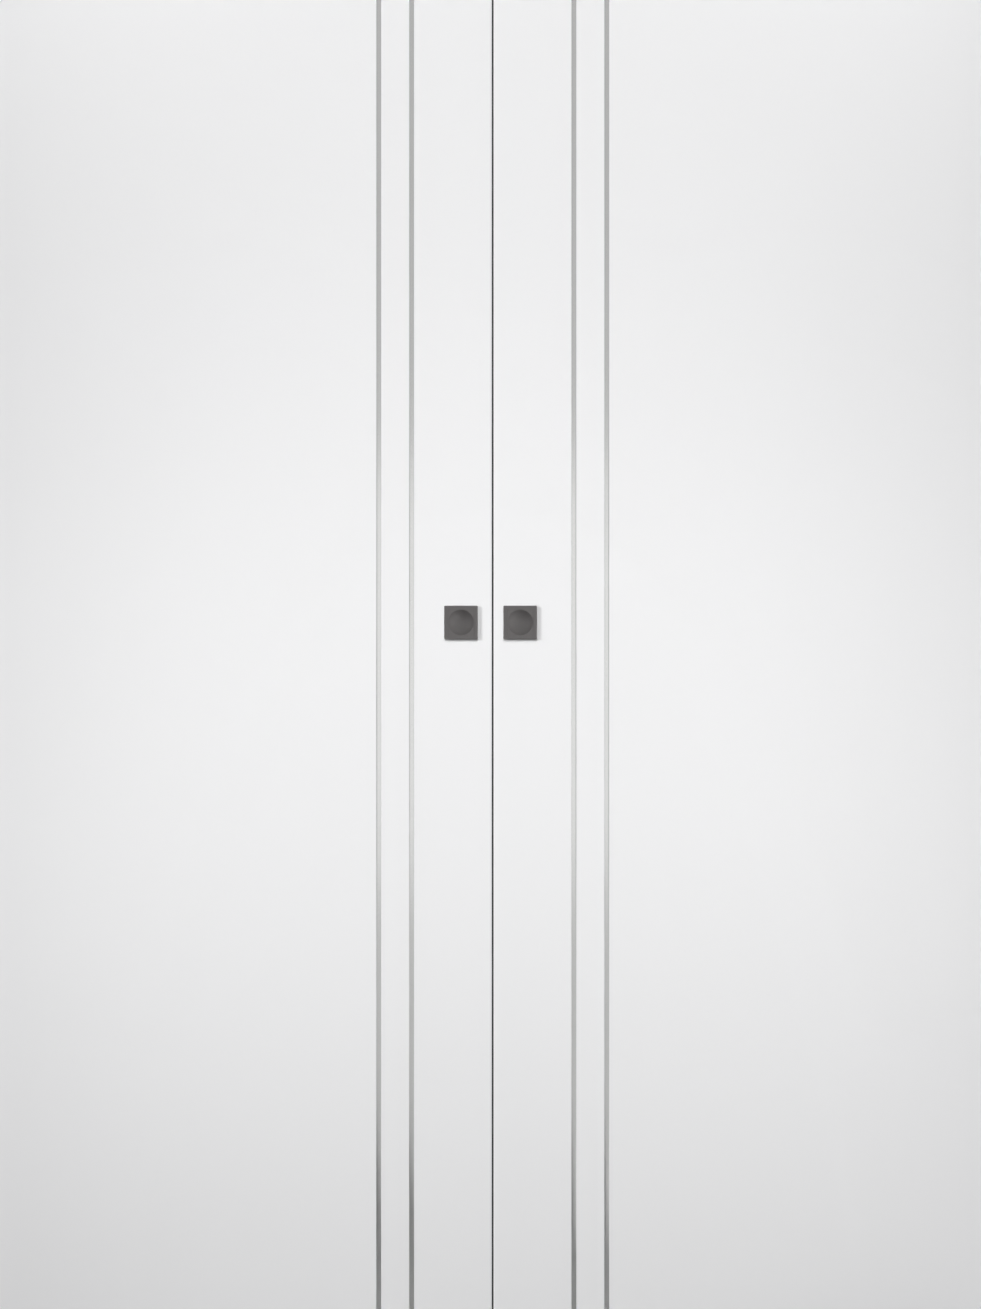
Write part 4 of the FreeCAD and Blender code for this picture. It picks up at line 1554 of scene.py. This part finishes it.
@dataclass
class TrackFittings:
    """Screws, nuts and buffers that fasten and end the running track."""

    body: str = "track_assembly"
    screw: float = 5 * MM
    screw_pitch: float = 0.8 * MM
    screw_head: float = 3 * MM
    nut_chamfer: float = 0.4 * MM
    set_screw: float = 6 * MM
    set_screw_pitch: float = 1.0 * MM
    socket: float = 3 * MM
    buffer_edge: float = 1.6 * MM
    groove_from_edge: float = 1.5 * MM
    groove_depth: float = 0.7 * MM
    groove_floor: float = 1.2 * MM
    groove_slope: float = 0.5 * MM

    def build(self) -> None:
        """Models the fittings on the boxes of their solids."""
        size, head = solids("track_screws")[0].size, self.screw_head
        screw = PanScrew(size.x, head, self.screw, size.z - head, self.screw_pitch)
        shape = screw.build().moved(Matrix.Translation((0, 0, -head)))
        lay_out("track_pan_screws", shape, "track_screws", down_from, ZINC, self.body)
        size = solids("track_nuts")[0].size
        nut = Nut(size.y, self.screw, size.z, self.nut_chamfer)
        lay_out("track_hex_nuts", nut.build(), "track_nuts", up_from, ZINC, self.body)
        size = solids("stop_screws")[0].size
        grub = GrubScrew(self.socket, 0.0, self.set_screw, size.z, self.set_screw_pitch)
        lay_out("stop_set_screws", grub.build(), "stop_screws", down_from, STEEL, self.body)
        self._buffers()

    def _buffers(self) -> None:
        """Makes the rubber buffers, which are rounded blocks with grooved faces."""
        form = Form()
        for box in solids("stop_buffers"):
            shape = Form()
            place = centred_on(box) @ Matrix.Diagonal((*box.size, 1.0))
            bmesh.ops.create_cube(shape.mesh, size=1.0, matrix=place)
            shape.soften(self.buffer_edge, segments=4)
            for way in (-1, 1):
                self._groove(shape, way)
            form.add(shape, Matrix.Identity(4))
            shape.mesh.free()
        form.piece("rubber_buffers", RUBBER, self.body, "stop_buffers")

    def _groove(self, shape: Form, way: int) -> None:
        """Sinks a groove round a striking face of a buffer.

        Args:
            shape: the buffer.
            way: -1 for its left face and 1 for its right one.
        """
        face = [max(shape.mesh.faces, key=lambda each: each.normal.x * way * each.calc_area())]
        steps = (
            (self.groove_from_edge, 0.0),
            (self.groove_slope, -self.groove_depth),
            (self.groove_floor, 0.0),
            (self.groove_slope, self.groove_depth),
        )
        for width, depth in steps:
            bmesh.ops.inset_region(
                shape.mesh,
                faces=face,
                thickness=width,
                depth=depth,
                use_even_offset=True,
            )


@dataclass(frozen=True)
class SoftBox:
    """A flat studio lamp, which may have a grid that narrows its light."""

    name: str
    place: Place
    aim: Place
    width: float
    height: float
    radiance: float
    spread: float = 180.0
    in_metal: bool = False

    def both_sides(self) -> tuple["SoftBox", "SoftBox"]:
        """Mirrors the lamp about the middle of the door.

        Returns:
            Its mirror image on the left, and the lamp itself on the right.
        """
        (place_x, *place), (aim_x, *aim) = self.place, self.aim
        left = replace(
            self, name=f"{self.name}_left", place=(-place_x, *place), aim=(-aim_x, *aim)
        )
        return left, replace(self, name=f"{self.name}_right")

    def light(self) -> bpy.types.Object:
        """Adds the lamp, which the camera never sees.

        Returns:
            The lamp.
        """
        data = bpy.data.lights.new(self.name, "AREA")
        data.shape = "RECTANGLE"
        data.size, data.size_y = self.width, self.height
        data.energy = self.radiance * math.pi * self.width * self.height
        data.spread = math.radians(self.spread)
        lamp = placed(self.name, data)
        lamp.location = self.place
        way = Vector(self.aim) - Vector(self.place)
        lamp.rotation_euler = way.to_track_quat("-Z", "Y").to_euler()
        lamp.visible_camera = False
        lamp.visible_glossy = self.in_metal
        return lamp


@dataclass(frozen=True)
class Sun:
    """A distant lamp, which lights a surface square to one axis by a given share of a white sky."""

    name: str
    way: Place
    share: float
    axis: Axis
    angle: float

    def light(self) -> bpy.types.Object:
        """Adds the lamp, which metals don't mirror.

        Returns:
            The lamp.
        """
        way = Vector(self.way).normalized()
        data = bpy.data.lights.new(self.name, "SUN")
        data.energy = self.share * math.pi / abs(way.dot(self.axis.along))
        data.angle = math.radians(self.angle)
        lamp = placed(self.name, data)
        lamp.rotation_euler = way.to_track_quat("-Z", "Y").to_euler()
        lamp.visible_glossy = False
        return lamp


@dataclass
class Studio:
    """The floor, the light and the camera.

    The lamps for the leaves leave out the pulls, which have a lamp of their own on each side.
    """

    photo_width_px: int = 981
    photo_height_px: int = 1309
    meeting_line_px: float = 492.75
    mm_per_px: float = 1.4906
    view_centre: float = 1.0022
    camera_distance: float = 4.0
    sensor: float = 36.0
    floor_size: float = 400.0
    floor: PaleFloor = PaleFloor()
    horizon: float = 0.58
    zenith: float = 0.48
    fill: float = 0.17
    back_light: Sun = Sun("back_light", (-0.35, -0.6, -0.85), 0.6, Axis.Z, 25)
    key: Sun = Sun("key", (2.5, 1.0, -0.7), 0.35, Axis.Y, 12)
    reflector: SoftBox = SoftBox(
        "reflector", (0, -4.6, 0.95), (0, 0, 0.95), 3.4, 1.4, 0.35, in_metal=True
    )
    pull_lamps: tuple[SoftBox, ...] = (
        SoftBox("beside_left", (-3.5, -2.0, 2.2), (0, 0, 1.05), 2.4, 2.6, 4.0),
        SoftBox("beside_right", (3.5, -2.0, 0.9), (0, 0, 1.05), 2.4, 2.6, 7.25),
    )
    face_lamps: tuple[SoftBox, ...] = (
        *SoftBox("above", (0.5, -1.9, 3.85), (0.5, 0, 0.85), 0.4, 0.4, 5.8, 42).both_sides(),
        *SoftBox("top", (0.6, -2.4, 2.6), (0.6, 0, 2.8), 0.9, 0.9, 1.3, 55).both_sides(),
        *SoftBox("low", (0.4, -2.2, 3.6), (0.4, 0, 0.35), 0.4, 0.4, 1.75, 34).both_sides(),
        *SoftBox("far", (0.8, -1.6, 0.9), (0.8, 0, 0.6), 0.9, 0.9, 0.11, 55).both_sides(),
    )

    def build(self) -> None:
        """Sets up floor, light and camera."""
        bpy.context.scene.view_settings.view_transform = "Standard"
        floor = self._floor()
        self._world()
        self.back_light.light()
        pulls = [bpy.data.objects[side.node("pull")] for side in Side]
        door = self._linked("lit_by_reflector", Lights.ALL_BUT, floor)
        face = self._linked("lit_by_face_lamps", Lights.ALL_BUT, floor, *pulls)
        castings = self._linked("lit_by_pull_lamps", Lights.ONLY, *pulls)
        for lamps, lit in (
            ((self.reflector,), door),
            ((self.key, *self.face_lamps), face),
            (self.pull_lamps, castings),
        ):
            for lamp in lamps:
                lamp.light().light_linking.receiver_collection = lit
        self._camera()

    def _floor(self) -> bpy.types.Object:
        """Lays the floor under the door.

        Returns:
            The floor.
        """
        form = Form()
        form.sheet(self.floor_size / 2, 0.0)
        mesh = bpy.data.meshes.new("studio_floor")
        form.mesh.to_mesh(mesh)
        form.mesh.free()
        mesh.materials.append(self.floor.material())
        floor = placed("studio_floor", mesh)
        return floor

    def _world(self) -> None:
        """Surrounds the door with a pale backdrop, which lights matt surfaces at a lower fill level."""
        world = bpy.data.worlds.new("studio_world")
        bpy.context.scene.world = world
        world.use_nodes = True
        nodes = Nodes(world.node_tree)
        way = nodes.add("ShaderNodeTexCoord", {}, {}, "Generated")
        up = nodes.add("ShaderNodeSeparateXYZ", {}, {"Vector": way}, "Z")
        rise = nodes.add("ShaderNodeClamp", {}, {"Value": up})
        backdrop = self.horizon + (self.zenith - self.horizon) * rise
        strength = self.fill + nodes.shown() * (backdrop - self.fill)
        light = nodes.add("ShaderNodeBackground", {}, {"Color": (1.0, 1.0, 1.0), "Strength": strength})
        nodes.add("ShaderNodeOutputWorld", {}, {"Surface": light})

    def _linked(self, name: str, lights: Lights, *named: bpy.types.Object) -> bpy.types.Collection:
        """Says what a lamp lights.

        Args:
            name: the collection's name.
            lights: whether the lamp lights only the named objects or all but those.
            named: the objects.

        Returns:
            A collection for the lamp's light linking.
        """
        lit = bpy.data.collections.new(name)
        for each in named:
            lit.objects.link(each)
        for member in lit.collection_objects:
            member.light_linking.link_state = lights.value
        return lit

    def _camera(self) -> None:
        """Stands the camera square in front of the leaves, as the photograph was taken."""
        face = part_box(Side.LEFT.node("front_skin"))[0].y
        aside = (self.photo_width_px / 2 - self.meeting_line_px) * self.mm_per_px * MM
        tall = self.photo_height_px * self.mm_per_px * MM
        data = bpy.data.cameras.new("camera")
        data.sensor_width = self.sensor
        data.lens = self.sensor * self.camera_distance / tall
        camera = placed("camera", data)
        camera.location = (aside, face - self.camera_distance, self.view_centre)
        camera.rotation_euler = (math.pi / 2, 0, 0)
        bpy.context.scene.camera = camera


def dress_solids() -> None:
    """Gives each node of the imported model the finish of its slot, with level grain in the rails."""
    rails = {side.node("rails") for side in Side}
    for part in frame["record"]["subparts"]:
        node = part["node"]
        finish = RAIL_TIMBER if node in rails else FINISHES[Slot(part["material_slot"])]
        frame["nodes"][node].material_slots[0].material = finish.material()
        LOG.info("%s: %s", node, finish.name)


def main() -> None:
    """Builds and dresses the door, and sets up the studio."""
    logging.basicConfig(level=logging.INFO, format="%(name)s %(message)s")
    dress_solids()
    for side in Side:
        for part in (Pull(side), Inlays(side), HangingGear(side), Rollers(side)):
            part.build()
    TrackFittings().build()
    Studio().build()


if __name__ == "__main__":
    main()
